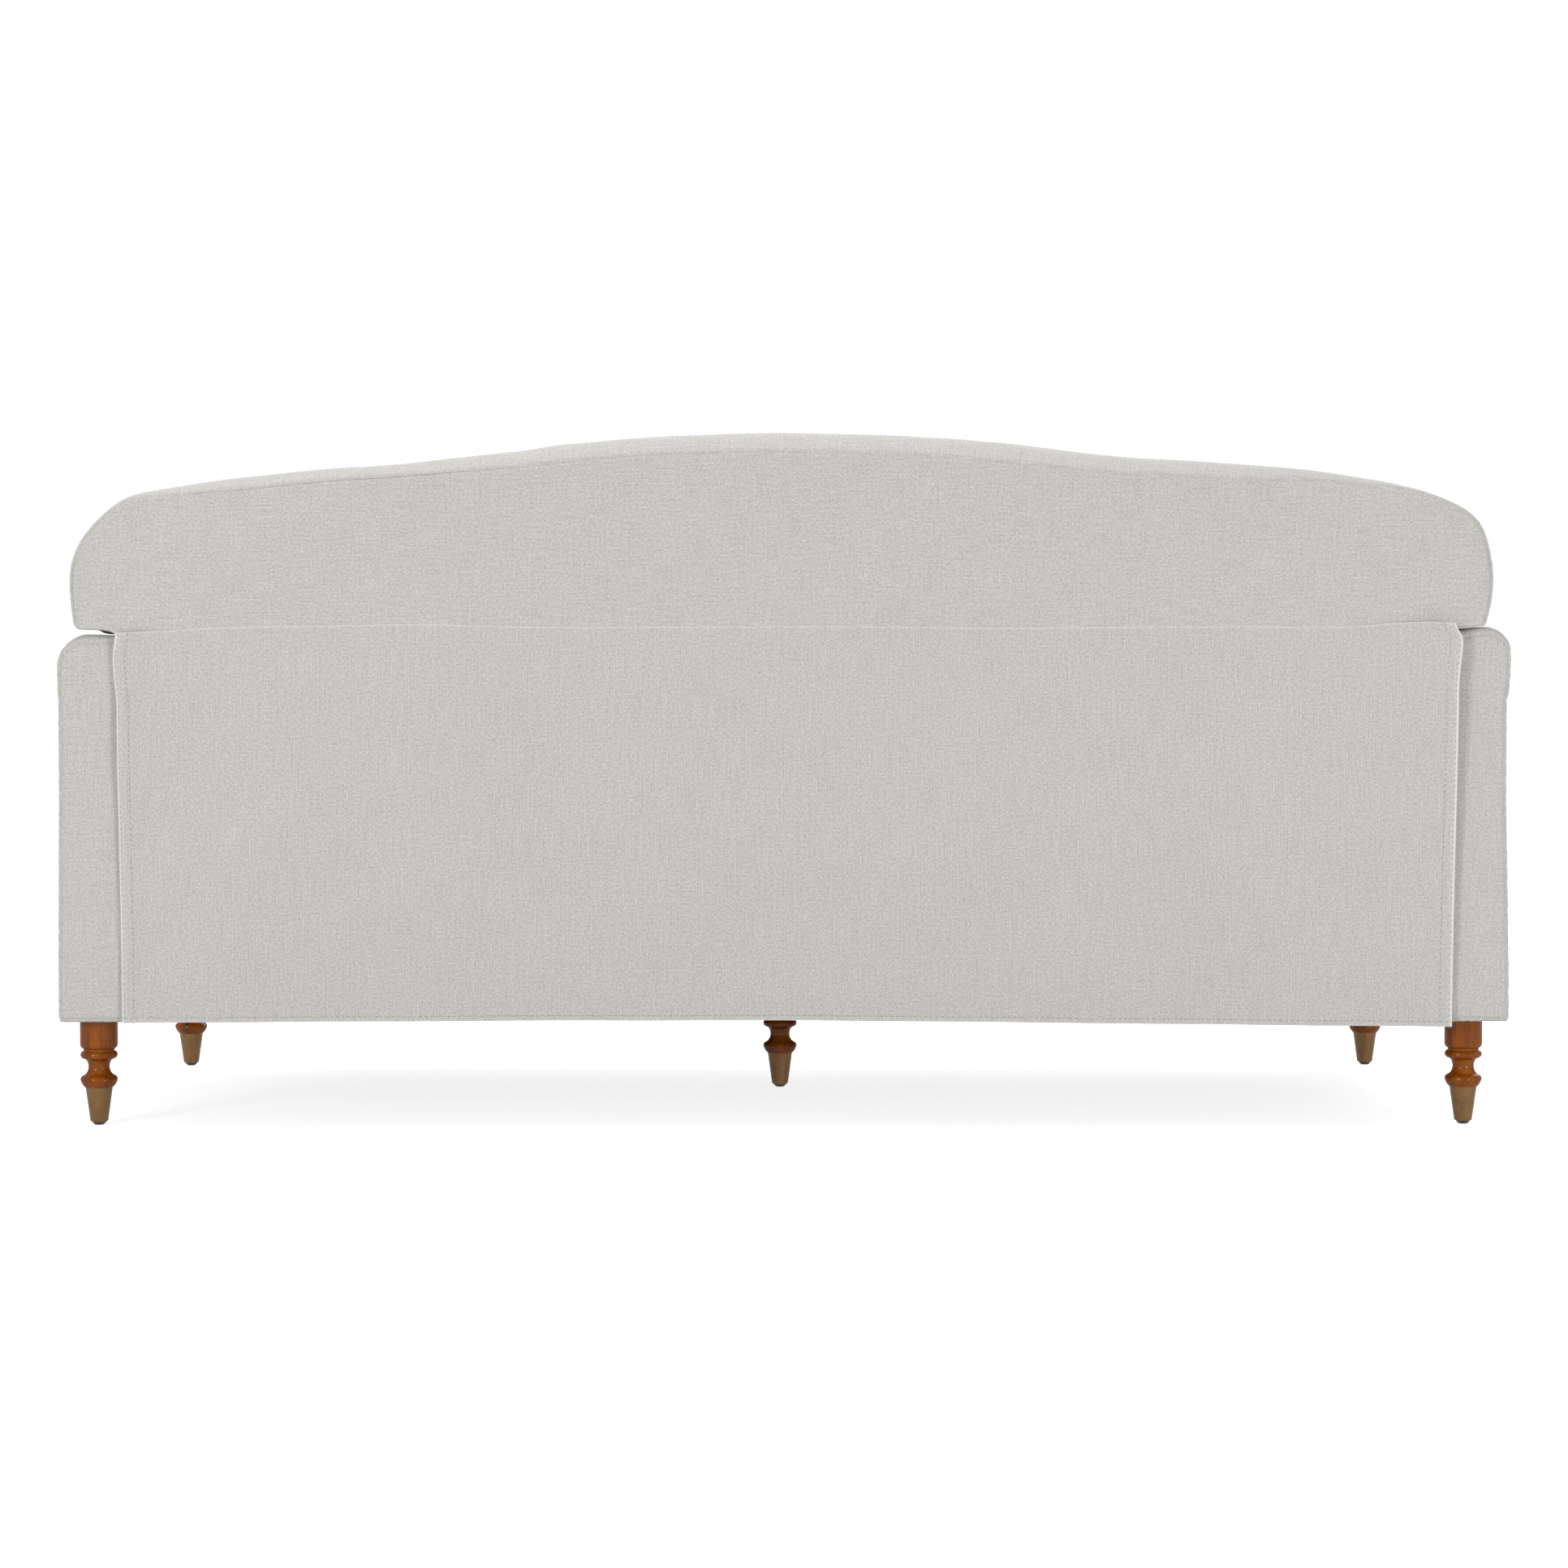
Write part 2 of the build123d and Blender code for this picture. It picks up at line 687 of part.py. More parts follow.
def flap_section(half, depths, z):
    """Section of the hanging cloth at one height: flat edges and shallow folds between them."""
    flat_half = half - flap_flat_edge
    pitch = 2 * flat_half / flap_fold_count
    layers = []
    for shift in (0.0, flap_thickness):
        y = flap_inner + shift
        edges = [Line((-half, y, z), (-flat_half, y, z))]
        for i in range(flap_fold_count):
            x0 = -flat_half + i * pitch
            swell = depths[i % len(depths)]
            edges.append(ThreePointArc((x0, y, z), (x0 + pitch / 2, y + swell, z), (x0 + pitch, y, z)))
        edges.append(Line((flat_half, y, z), (half, y, z)))
        layers.append(edges)
    ends = [
        Line((sign * half, flap_inner, z), (sign * half, flap_outer, z)) for sign in sides.values()
    ]
    return make_face(Wire(layers[0] + layers[1] + ends))


def back_flap():
    """Cloth flap, sewn to the foot of the head and hanging to the hem."""
    top = flap_section(half_seat + flap_overlap_top, flap_folds_top, flap_top)
    hem = flap_section(half_seat + flap_overlap_bottom, flap_folds_hem, flap_bottom)
    return loft([hem, top], ruled=True)


def flap_tapes(y0, y1):
    """A pair of sewn or stapled tapes between two depths, near the side edges of the flap."""
    outer = half_seat + flap_overlap_bottom - tape_edge_inset
    z0 = leg_height + tape_end_inset
    z1 = flap_top - tape_end_inset
    return [
        block(sign * (outer - tape_width), sign * outer, y0, y1, z0, z1) for sign in sides.values()
    ]


# Seat cushions

def cushion_loop(half_x, half_y, draw, z):
    """Plan of a cushion at one height: four corners, with sides drawn in between them."""
    corners = [(half_x, half_y), (-half_x, half_y), (-half_x, -half_y), (half_x, -half_y)]
    middles = [(0, half_y - draw), (-half_x + draw, 0), (0, -half_y + draw), (half_x - draw, 0)]
    arcs = [
        ThreePointArc((*corners[i], z), (*middles[i], z), (*corners[(i + 1) % 4], z)) for i in range(4)
    ]
    return make_face(Wire(arcs))


def cushion_form(inset):
    """Boxed cushion with a crowned top, centred on Z; inset draws every face in."""
    front = body_front - cushion_front_overhang
    rear = back_front - cushion_rear_gap
    half_x = (half_seat - cushion_side_gap - cushion_middle_gap / 2) / 2 - inset
    half_y = (rear - front) / 2 - inset
    foot = deck_height + touch_gap + inset
    seam = deck_height + touch_gap + cushion_boxing
    levels = [
        (foot, cushion_seam_inset),
        ((foot + seam) / 2, 0.0),
        (seam - inset / 2, cushion_seam_inset),
    ]
    levels += [(seam + share * cushion_crown - inset, step) for share, step in cushion_crown_steps]
    loops = [cushion_loop(half_x - step, half_y - step, cushion_draw_in, z) for z, step in levels]
    return loft(loops, ruled=True)


def cushion_pieces():
    """Foam core and sewn cover of the right-hand cushion."""
    x = (half_seat - cushion_side_gap + cushion_middle_gap / 2) / 2
    y = (body_front - cushion_front_overhang + back_front - cushion_rear_gap) / 2
    core = cushion_form(cover_thickness)
    place = Pos(x, y, 0)
    return {
        "seat_cushion_core": place * core,
        "seat_cushion_cover": place * (cushion_form(0) - core),
    }


def build_nodes():
    """Every piece of the loveseat, by the name of its file."""
    nodes = {}
    for name, (x, y) in leg_places.items():
        nodes[f"leg_{name}"] = Pos(x, y, 0) * turned_leg()
        nodes[f"leg_cup_{name}"] = Pos(x, y, 0) * brass_cup()
        nodes[f"floor_glide_{name}"] = Pos(x, y, 0) * floor_glide()
    nodes["leg_hanger_bolts"] = [Pos(x, y, 0) * hanger_bolt() for x, y in leg_places.values()]
    nodes["leg_tee_nuts"] = [Pos(x, y, 0) * tee_nut() for x, y in leg_places.values()]
    for side, sign in sides.items():
        for name, piece in arm_pieces().items():
            nodes[f"{side}_{name}"] = on_side(piece, sign)
        for name, piece in cushion_pieces().items():
            nodes[f"{side}_{name}"] = on_side(piece, sign)
    nodes["arm_bolts"] = [
        on_side(arm_bolt(y, z), sign) for sign in sides.values() for y, z in arm_bolt_places()
    ]
    nodes.update(base_rails())
    nodes["base_corner_blocks"] = corner_blocks()
    nodes["base_catches"] = base_catches()
    nodes["seat_webbing"] = seat_webbing()
    nodes["seat_deck"] = seat_deck()
    nodes["front_border"] = front_border()
    nodes["dust_cloth"] = dust_cloth()
    nodes.update(back_pieces())
    nodes["back_flap"] = back_flap()
    nodes["flap_loop_tapes"] = flap_tapes(tape_front, flap_inner)
    nodes["arm_hook_tapes"] = flap_tapes(body_rear, body_rear + tape_thickness)
    return nodes


def main():
    os.makedirs("parts", exist_ok=True)
    for name, piece in build_nodes().items():
        shape = Compound(children=piece) if isinstance(piece, list) else piece
        export_step(shape, f"parts/{name}.step")


main()
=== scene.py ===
"""Looks of the loveseat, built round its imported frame.

Metres, with +Z up. The sitter faces -Y, so the camera looks at the rear from +Y.
"""
import logging
import math
from dataclasses import dataclass
from enum import Enum
from functools import cache
from typing import Callable, Sequence

import bmesh
import bpy
import numpy as np
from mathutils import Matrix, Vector


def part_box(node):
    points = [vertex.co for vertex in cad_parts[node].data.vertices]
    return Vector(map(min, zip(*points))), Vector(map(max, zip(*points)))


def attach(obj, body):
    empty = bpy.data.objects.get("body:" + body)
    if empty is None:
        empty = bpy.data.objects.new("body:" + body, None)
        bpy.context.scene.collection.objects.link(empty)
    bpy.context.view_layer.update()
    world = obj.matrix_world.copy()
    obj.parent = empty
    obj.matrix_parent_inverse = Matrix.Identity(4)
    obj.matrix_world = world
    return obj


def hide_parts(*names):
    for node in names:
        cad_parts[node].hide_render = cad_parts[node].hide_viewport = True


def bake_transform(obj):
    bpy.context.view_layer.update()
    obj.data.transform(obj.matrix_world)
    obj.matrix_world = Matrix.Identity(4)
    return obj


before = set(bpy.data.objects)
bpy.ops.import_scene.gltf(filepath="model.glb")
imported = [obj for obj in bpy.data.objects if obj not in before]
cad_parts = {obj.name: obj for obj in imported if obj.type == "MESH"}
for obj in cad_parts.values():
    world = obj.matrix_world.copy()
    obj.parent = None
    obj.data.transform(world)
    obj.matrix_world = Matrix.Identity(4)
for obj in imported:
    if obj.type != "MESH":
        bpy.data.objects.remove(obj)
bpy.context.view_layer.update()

LOG = logging.getLogger("loveseat")
CLOTH_MAP = "cloth"
# The point attribute that carries the mask of the painted highlight.
HIGHLIGHT_MAP = "fold"
FULL_TONE = 255.0
STRAIGHT_END = 0.04045
STRAIGHT_SLOPE = 12.92
CURVE_LIFT = 0.055
CURVE_POWER = 2.4
OUTLINE_STEPS = 400
SIDE_STEPS = 20
STRAIGHT = 1e-6
MERGE = 1e-5
TINY = 1e-12
Array = np.ndarray
Point = tuple[float, float]
Place = tuple[float, float, float]
Colour = tuple[float, float, float, float]
Surface = Callable[[Array], Array]
Row = tuple[Array, Array]
WHITE: Colour = (1.0, 1.0, 1.0, 1.0)

# The seam at the flap's top: along x, how far it runs above or below its level.
FLAP_SEAM = (
    (-0.90, 0.0026), (-0.852, 0.0028), (-0.84, 0.0045), (-0.808, 0.0058), (-0.776, 0.0046), (-0.744, 0.0022),
    (-0.71, -0.0003), (-0.55, 0.0004), (-0.29, -0.0016), (-0.04, 0.0004), (0.27, -0.0008), (0.47, 0.0024),
    (0.64, 0.0002), (0.73, -0.0024), (0.785, -0.0064), (0.84, -0.0085), (0.90, -0.0085),
)
# The head's lower edge: along x, how far it hangs above or below its level.
HEAD_FOOT = (
    (-0.90, -0.0002), (-0.881, -0.0001), (-0.8736, -0.0009), (-0.8655, -0.0020), (-0.854, -0.0035),
    (-0.80, 0.0015), (-0.744, -0.0005), (-0.71, -0.0028), (-0.55, -0.0021), (-0.29, -0.0041),
    (-0.04, -0.0021), (0.27, -0.0033), (0.47, -0.0001), (0.64, -0.0023), (0.73, -0.0049),
    (0.785, -0.0086), (0.832, -0.0104), (0.8405, -0.0106), (0.8435, -0.0086), (0.8495, -0.0063),
    (0.8567, -0.0054), (0.864, -0.0048), (0.90, -0.0046),
)


class Axis(Enum):
    """A frame axis, as its place in a point."""

    X = 0
    Y = 1
    Z = 2


class Side(Enum):
    """The two ends of the loveseat, with the sign of their X."""

    LEFT = -1
    RIGHT = 1

    @property
    def word(self) -> str:
        """The side's name as the nodes spell it."""
        return self.name.lower()


def tone(red: int, green: int, blue: int) -> Colour:
    """Turn a colour as it is seen, 0 to 255, into the renderer's linear values.

    Args:
        red: Red, 0 to 255.
        green: Green, 0 to 255.
        blue: Blue, 0 to 255.

    Returns:
        Linear red, green, blue and a full alpha.
    """
    linear = []
    for value in (red, green, blue):
        share = value / FULL_TONE
        curved = ((share + CURVE_LIFT) / (1.0 + CURVE_LIFT)) ** CURVE_POWER
        linear.append(curved if share > STRAIGHT_END else share / STRAIGHT_SLOPE)
    return (linear[0], linear[1], linear[2], 1.0)


@dataclass(frozen=True)
class Unevenness:
    """Noise in a finish: how often it repeats per metre along each coordinate, and its finer octaves."""

    repeats: Place
    octaves: float
    finer: float = 0.55


class Graph:
    """Adds and links the nodes of one tree."""

    def __init__(self, tree: bpy.types.NodeTree) -> None:
        """Keep the tree that the nodes go into."""
        self.tree = tree

    def feed(self, node: bpy.types.Node, **values: object) -> None:
        """Set or link a node's inputs.

        Args:
            node: The node.
            values: Inputs by name with _ for a space, or in0, in1 by place. A socket is linked.
        """
        for name, value in values.items():
            by_place = name.startswith("in") and name[2:].isdigit()
            socket = node.inputs[int(name[2:])] if by_place else node.inputs[name.replace("_", " ")]
            if isinstance(value, bpy.types.NodeSocket):
                self.tree.links.new(value, socket)
            else:
                socket.default_value = value

    def add(self, kind: str, settings: dict | None = None, **values: object) -> bpy.types.Node:
        """Add one node.

        Args:
            kind: The node's type in Blender.
            settings: Options of the node itself, such as its operation.
            values: Inputs, as feed takes them.

        Returns:
            The new node.
        """
        node = self.tree.nodes.new(kind)
        for name, value in (settings or {}).items():
            setattr(node, name, value)
        self.feed(node, **values)
        return node

    def group(self, tree: bpy.types.NodeTree, **values: object) -> bpy.types.Node:
        """Place a node group, with its inputs as feed takes them."""
        return self.add("ShaderNodeGroup", {"node_tree": tree}, **values)

    def math(self, operation: str, first: object, second: object = 0.0) -> bpy.types.NodeSocket:
        """The result of a Math node on two values or sockets."""
        return self.add("ShaderNodeMath", {"operation": operation}, in0=first, in1=second).outputs[0]

    def total(self, *terms: tuple[object, object]) -> bpy.types.NodeSocket:
        """Add up several terms.

        Args:
            terms: Each term's value or socket, and the share that it is multiplied by.

        Returns:
            The sum.
        """
        products = [self.math("MULTIPLY", value, share) for value, share in terms]
        result = products[0]
        for product in products[1:]:
            result = self.math("ADD", result, product)
        return result

    def noise(self, place: bpy.types.NodeSocket, pattern: Unevenness) -> bpy.types.NodeSocket:
        """Add noise that is drawn out along an axis, and centre it on zero.

        Args:
            place: The pattern's coordinates.
            pattern: How the noise is drawn out.

        Returns:
            Noise from about -0.3 to 0.3.
        """
        scaled = self.add("ShaderNodeVectorMath", {"operation": "MULTIPLY"}, in0=place, in1=pattern.repeats)
        drawn = self.add(
            "ShaderNodeTexNoise", Vector=scaled.outputs[0], Scale=1.0, Detail=pattern.octaves,
            Roughness=pattern.finer,
        )
        return self.math("SUBTRACT", drawn.outputs[0], MIDDLE)

    def mix(self, factor: object, first: object, second: object) -> bpy.types.NodeSocket:
        """Mix two colours or colour sockets, by the share of the second."""
        settings = {"data_type": "RGBA", "clamp_factor": True}
        return self.add("ShaderNodeMix", settings, in0=factor, in6=first, in7=second).outputs[2]


@dataclass(frozen=True)
class Port:
    """A named socket of a node group."""

    name: str
    kind: str
    output: bool = False


MIDDLE = 0.5
WEFT_SLUBS = Unevenness((24.0, 560.0, 1.0), 1.0)
WARP_SLUBS = Unevenness((560.0, 18.0, 1.0), 1.0)
CLOTH_GRAIN = Unevenness((360.0, 430.0, 1.0), 2.0)
CLOTH_CLOUDS = Unevenness((7.0, 7.0, 1.0), 1.0)
CLOTH_FLECKS = Unevenness((210.0, 430.0, 1.0), 1.0)
CLOUD_SHARE = 0.10
FLECK_START = 0.12
FLECK_RISE = 3.0
WOOD_FIGURE = Unevenness((70.0, 70.0, 9.0), 4.0)
GROWTH_LINES = Unevenness((420.0, 420.0, 14.0), 2.0)
WOOD_PORES = Unevenness((1100.0, 1100.0, 60.0), 1.0)
FIGURE_SHARE = 1.6
LINE_SHARE = 0.9
PORE_SHARE = 0.5
WORN_PATCHES = Unevenness((95.0, 95.0, 60.0), 4.0)
FINE_SCUFFS = Unevenness((700.0, 700.0, 180.0), 2.0)
FINE_PITS = Unevenness((900.0, 900.0, 900.0), 2.0)
PATCH_SHARE = 1.4
SCUFF_SHARE = 0.7
SHADE_PORTS = (Port("Color", "Color", True), Port("Height", "Float", True))
GRAIN_TURNS = {
    Axis.X: (0.0, math.pi / 2, 0.0),
    Axis.Y: (math.pi / 2, 0.0, 0.0),
    Axis.Z: (0.0, 0.0, 0.0),
}


def open_group(name: str, ports: Sequence[Port]) -> tuple[Graph, bpy.types.Node, bpy.types.Node]:
    """Start a shader group.

    Args:
        name: The group's name.
        ports: Its inputs and outputs.

    Returns:
        The group's graph, its input node and its output node.
    """
    tree = bpy.data.node_groups.new(name, "ShaderNodeTree")
    for port in ports:
        way = "OUTPUT" if port.output else "INPUT"
        tree.interface.new_socket(port.name, in_out=way, socket_type=f"NodeSocket{port.kind}")
    graph = Graph(tree)
    return graph, graph.add("NodeGroupInput"), graph.add("NodeGroupOutput")


@cache
def weave_group() -> bpy.types.NodeTree:
    """Heathered plain weave: fine grain, slubs along both threads, warp ribs and flecks, and a painted
    highlight where the highlight mask is set.

    Returns:
        The group, built on first use.
    """
    inputs = [Port("Cloth", "Vector")]
    # Highlight is the colour of a painted highlight, and Highlighting is its mask.
    inputs += [Port(word, "Color") for word in ("Light", "Dark", "Fleck", "Worn")]
    inputs += [Port(word, "Float") for word in ("Pitch", "Rib", "Weft", "Warp", "Grain", "Fold")]
    graph, start, end = open_group("heathered_weave", [*inputs, *SHADE_PORTS])
    given = start.outputs
    cloth = given["Cloth"]
    across = graph.add("ShaderNodeSeparateXYZ", Vector=cloth).outputs[0]
    turn = graph.math("DIVIDE", math.tau, given["Pitch"])
    ribs = graph.math("SINE", graph.math("MULTIPLY", across, turn))
    weft, warp = graph.noise(cloth, WEFT_SLUBS), graph.noise(cloth, WARP_SLUBS)
    slubs = graph.total((weft, given["Weft"]), (warp, given["Warp"]))
    threads = graph.total((graph.noise(cloth, CLOTH_GRAIN), given["Grain"]), (ribs, given["Rib"]))
    height = graph.math("ADD", slubs, threads)
    clouds = graph.math("MULTIPLY", graph.noise(cloth, CLOTH_CLOUDS), CLOUD_SHARE)
    shade = graph.math("ADD", graph.math("ADD", height, clouds), MIDDLE)
    colour = graph.mix(shade, given["Dark"], given["Light"])
    speck = graph.math("SUBTRACT", graph.noise(cloth, CLOTH_FLECKS), FLECK_START)
    colour = graph.mix(graph.math("MULTIPLY", speck, FLECK_RISE), colour, given["Fleck"])
    # Painted highlight: the highlight colour is mixed over the weave by the mask, standing in for light
    # catching the hems.
    colour = graph.mix(given["Fold"], colour, given["Worn"])
    graph.feed(end, Color=colour, Height=height)
    return graph.tree


@cache
def grain_group() -> bpy.types.NodeTree:
    """Wood grain that runs along the third coordinate: figure, growth lines and pores.

    Returns:
        The group, built on first use.
    """
    inputs = [Port("Place", "Vector"), Port("Light", "Color"), Port("Dark", "Color")]
    graph, start, end = open_group("wood_grain", [*inputs, *SHADE_PORTS])
    place = start.outputs["Place"]
    figure, lines, pores = [graph.noise(place, part) for part in (WOOD_FIGURE, GROWTH_LINES, WOOD_PORES)]
    shade = graph.total((figure, FIGURE_SHARE), (lines, LINE_SHARE), (pores, PORE_SHARE))
    shade = graph.math("ADD", shade, MIDDLE)
    colour = graph.mix(shade, start.outputs["Dark"], start.outputs["Light"])
    graph.feed(end, Color=colour, Height=graph.math("ADD", lines, pores))
    return graph.tree


@cache
def wear_group() -> bpy.types.NodeTree:
    """Patchy rubbing and dulling of a hard finish.

    Returns:
        The group, built on first use.
    """
    inputs = [Port("Place", "Vector"), Port("Low", "Float"), Port("High", "Float")]
    graph, start, end = open_group("rubbed_patches", [*inputs, Port("Value", "Float", True)])
    place, low, high = [start.outputs[word] for word in ("Place", "Low", "High")]
    patches, scuffs = graph.noise(place, WORN_PATCHES), graph.noise(place, FINE_SCUFFS)
    mask = graph.total((patches, PATCH_SHARE), (scuffs, SCUFF_SHARE))
    mask = graph.math("ADD", mask, MIDDLE)
    spread = graph.math("MULTIPLY", mask, graph.math("SUBTRACT", high, low))
    graph.feed(end, Value=graph.math("ADD", low, spread))
    return graph.tree


def open_material(name: str) -> tuple[bpy.types.Material, Graph, bpy.types.Node]:
    """Start a material with one Principled shader.

    Args:
        name: The material's name.

    Returns:
        The material, its graph and its shader.
    """
    material = bpy.data.materials.new(name)
    material.use_nodes = True
    graph = Graph(material.node_tree)
    return material, graph, material.node_tree.nodes["Principled BSDF"]


@dataclass(frozen=True)
class ClothFinish:
    """A woven cloth.

    Weft and warp are how far each thread's slubs stand out, rib and grain how far those do.
    """

    name: str
    light: Colour
    dark: Colour
    fleck: Colour
    weft: float
    warp: float
    grain: float = 2.0
    rib: float = 0.02
    pitch: float = 0.0037
    bump: float = 0.3
    relief: float = 0.0006
    roughness: float = 0.9
    sheen: float = 0.12
    sheen_roughness: float = 0.5
    gloss: float = 0.2
    # Colour of the painted highlight, where a piece carries the highlight mask.
    worn: Colour = tone(242, 240, 236)

    @cache
    def material(self) -> bpy.types.Material:
        """Dress the cloth, on the piece's own cloth coordinates.

        Returns:
            The cloth's material, made on first use.
        """
        material, graph, shader = open_material(self.name)
        where = graph.add("ShaderNodeUVMap", {"uv_map": CLOTH_MAP})
        # The mask of the painted highlight; it is zero on pieces without it.
        fold = graph.add("ShaderNodeAttribute", {"attribute_name": HIGHLIGHT_MAP})
        words = ("light", "dark", "fleck", "worn", "pitch", "rib", "weft", "warp", "grain")
        thread = {word.title(): getattr(self, word) for word in words}
        weave = graph.group(weave_group(), Cloth=where.outputs[0], Fold=fold.outputs["Fac"], **thread)
        bump = graph.add(
            "ShaderNodeBump", Strength=self.bump, Distance=self.relief, Height=weave.outputs["Height"]
        )
        graph.feed(
            shader, Base_Color=weave.outputs["Color"], Normal=bump.outputs[0], Roughness=self.roughness,
            Sheen_Weight=self.sheen, Sheen_Roughness=self.sheen_roughness, Specular_IOR_Level=self.gloss,
        )
        return material


@dataclass(frozen=True)
class WoodFinish:
    """A wood with its grain along one axis, bare or varnished."""

    name: str
    light: Colour
    dark: Colour
    along: Axis = Axis.Z
    rough_low: float = 0.5
    rough_high: float = 0.7
    varnish: float = 0.0
    varnish_roughness: float = 0.08
    gloss: float = 0.4
    bump: float = 0.4
    relief: float = 0.0002

    @cache
    def material(self) -> bpy.types.Material:
        """Dress the wood, on Object coordinates turned so that the grain lies along the axis.

        Returns:
            The wood's material, made on first use.
        """
        material, graph, shader = open_material(self.name)
        where = graph.add("ShaderNodeTexCoord").outputs["Object"]
        mapping = graph.add("ShaderNodeMapping", Vector=where, Rotation=GRAIN_TURNS[self.along])
        place = mapping.outputs[0]
        grain = graph.group(grain_group(), Place=place, Light=self.light, Dark=self.dark)
        wear = graph.group(wear_group(), Place=place, Low=self.rough_low, High=self.rough_high)
        bump = graph.add(
            "ShaderNodeBump", Strength=self.bump, Distance=self.relief, Height=grain.outputs["Height"]
        )
        graph.feed(
            shader, Base_Color=grain.outputs["Color"], Roughness=wear.outputs["Value"],
            Normal=bump.outputs[0], Specular_IOR_Level=self.gloss, Coat_Weight=self.varnish,
            Coat_Roughness=self.varnish_roughness,
        )
        return material


@dataclass(frozen=True)
class HardFinish:
    """A metal or a plastic with patchy wear."""

    name: str
    clean: Colour
    dull: Colour
    metallic: float
    rough_low: float
    rough_high: float
    bump: float = 0.3
    relief: float = 0.0001

    @cache
    def material(self) -> bpy.types.Material:
        """Dress the metal or plastic, on Object coordinates.

        Returns:
            The finish's material, made on first use.
        """
        material, graph, shader = open_material(self.name)
        where = graph.add("ShaderNodeTexCoord").outputs["Object"]
        wear = graph.group(wear_group(), Place=where, Low=self.rough_low, High=self.rough_high)
        tarnish = graph.group(wear_group(), Place=where, High=1.0)
        colour = graph.mix(tarnish.outputs["Value"], self.clean, self.dull)
        pits = graph.noise(where, FINE_PITS)
        bump = graph.add("ShaderNodeBump", Strength=self.bump, Distance=self.relief, Height=pits)
        graph.feed(
            shader, Base_Color=colour, Roughness=wear.outputs["Value"], Normal=bump.outputs[0],
            Metallic=self.metallic,
        )
        return material


LINEN = {"light": tone(225, 223, 219), "dark": tone(183, 181, 177), "fleck": tone(213, 203, 197)}
BACK_LINEN = ClothFinish("linen_upper_back", weft=0.65, warp=0.4, **LINEN)
FLAP_LINEN = ClothFinish("linen_flap", weft=0.3, warp=0.45, rib=0.075, **LINEN)
ARM_LINEN = ClothFinish("linen_arms", weft=0.5, warp=0.5, rib=0.04, **LINEN)
SEAT_LINEN = ClothFinish("linen_seat", weft=0.7, warp=0.4, **LINEN)
THREAD = ClothFinish(
    "sewing_thread", tone(176, 173, 168), tone(140, 137, 132), tone(160, 154, 149), weft=1.0, warp=1.0,
    pitch=0.0006,
)
DECK_CLOTH = ClothFinish(
    "seat_deck_cloth", tone(226, 221, 208), tone(196, 190, 176), tone(212, 200, 184), weft=0.5, warp=0.5
)
DUST_CLOTH = ClothFinish(
    "black_dust_cloth", tone(44, 43, 42), tone(24, 24, 24), tone(52, 50, 48), weft=0.8, warp=0.8,
    grain=1.6, rib=0.0, roughness=0.95,
)
WEBBING = ClothFinish(
    "elastic_webbing", tone(92, 86, 78), tone(44, 41, 38), tone(120, 108, 92), weft=0.6, warp=1.6,
    grain=0.8, rib=0.25, pitch=0.0024, bump=0.8,
)
TAPE = ClothFinish(
    "hook_and_loop_tape", tone(214, 211, 203), tone(150, 147, 140), tone(200, 194, 184), weft=1.0, warp=1.0,
    grain=2.4, rib=0.1, pitch=0.0013, bump=1.0, relief=0.001,
)
VARNISHED_WOOD = WoodFinish(
    "varnished_leg_wood", tone(172, 92, 14), tone(100, 48, 4), rough_low=0.3, rough_high=0.44,
    varnish=0.34, gloss=0.0,
)
FRAME_LIGHT, FRAME_DARK = tone(214, 182, 138), tone(172, 132, 88)
FRAME_WOOD = {
    axis: WoodFinish(f"frame_wood_{axis.name.lower()}", FRAME_LIGHT, FRAME_DARK, axis) for axis in Axis
}
ANTIQUE_BRASS = HardFinish(
    "brass_cup_finish", tone(138, 102, 58), tone(102, 74, 40), metallic=0.35, rough_low=0.42, rough_high=0.58
)
DARK_PLASTIC = HardFinish(
    "glide_plastic", tone(62, 38, 22), tone(44, 26, 16), metallic=0.0, rough_low=0.45, rough_high=0.65
)
ZINC_STEEL = HardFinish(
    "zinc_plated_steel", tone(172, 174, 177), tone(134, 136, 139), metallic=1.0,
    rough_low=0.36, rough_high=0.56,
)


class Waves:
    """Smooth unevenness that is the same on every run: plane waves in fixed random directions."""

    def __init__(self, seed: int, count: int, shortest: float, longest: float) -> None:
        """Draw the waves.

        Args:
            seed: Seed of the draw.
            count: Number of waves.
            shortest: Shortest wavelength.
            longest: Longest wavelength.
        """
        draw = np.random.default_rng(seed)
        lengths = np.exp(draw.uniform(math.log(shortest), math.log(longest), count))
        ways = draw.normal(size=(count, 3))
        ways /= np.linalg.norm(ways, axis=1)[:, None]
        self.pace = ways * (math.tau / lengths)[:, None]
        self.phase = draw.uniform(0.0, math.tau, count)
        self.size = np.sqrt(lengths / lengths.max())
        self.size /= np.linalg.norm(self.size)

    def at(self, points: Array) -> Array:
        """Height of the waves at points, mostly from -1 to 1."""
        return np.cos(points @ self.pace.T + self.phase) @ self.size


@dataclass(frozen=True)
class Puckers:
    """Puckers along a seam: their seed, the seam's length, and the shortest and the longest of them."""

    seed: int
    length: float
    shortest: float
    longest: float
    count: int = 26

    def at(self, places: Array) -> Array:
        """Draw the puckers.

        Args:
            places: Distances along the seam.

        Returns:
            Heights at the places, mostly from -1 to 1.
        """
        draw = np.random.default_rng(self.seed)
        fewest, most = int(self.length / self.longest), int(self.length / self.shortest)
        cycles = draw.integers(fewest, most, self.count)
        phases = draw.uniform(0.0, math.tau, self.count)
        angles = np.outer(places.ravel() / self.length * math.tau, cycles) + phases
        return (np.cos(angles).sum(axis=1) / math.sqrt(self.count)).reshape(places.shape)


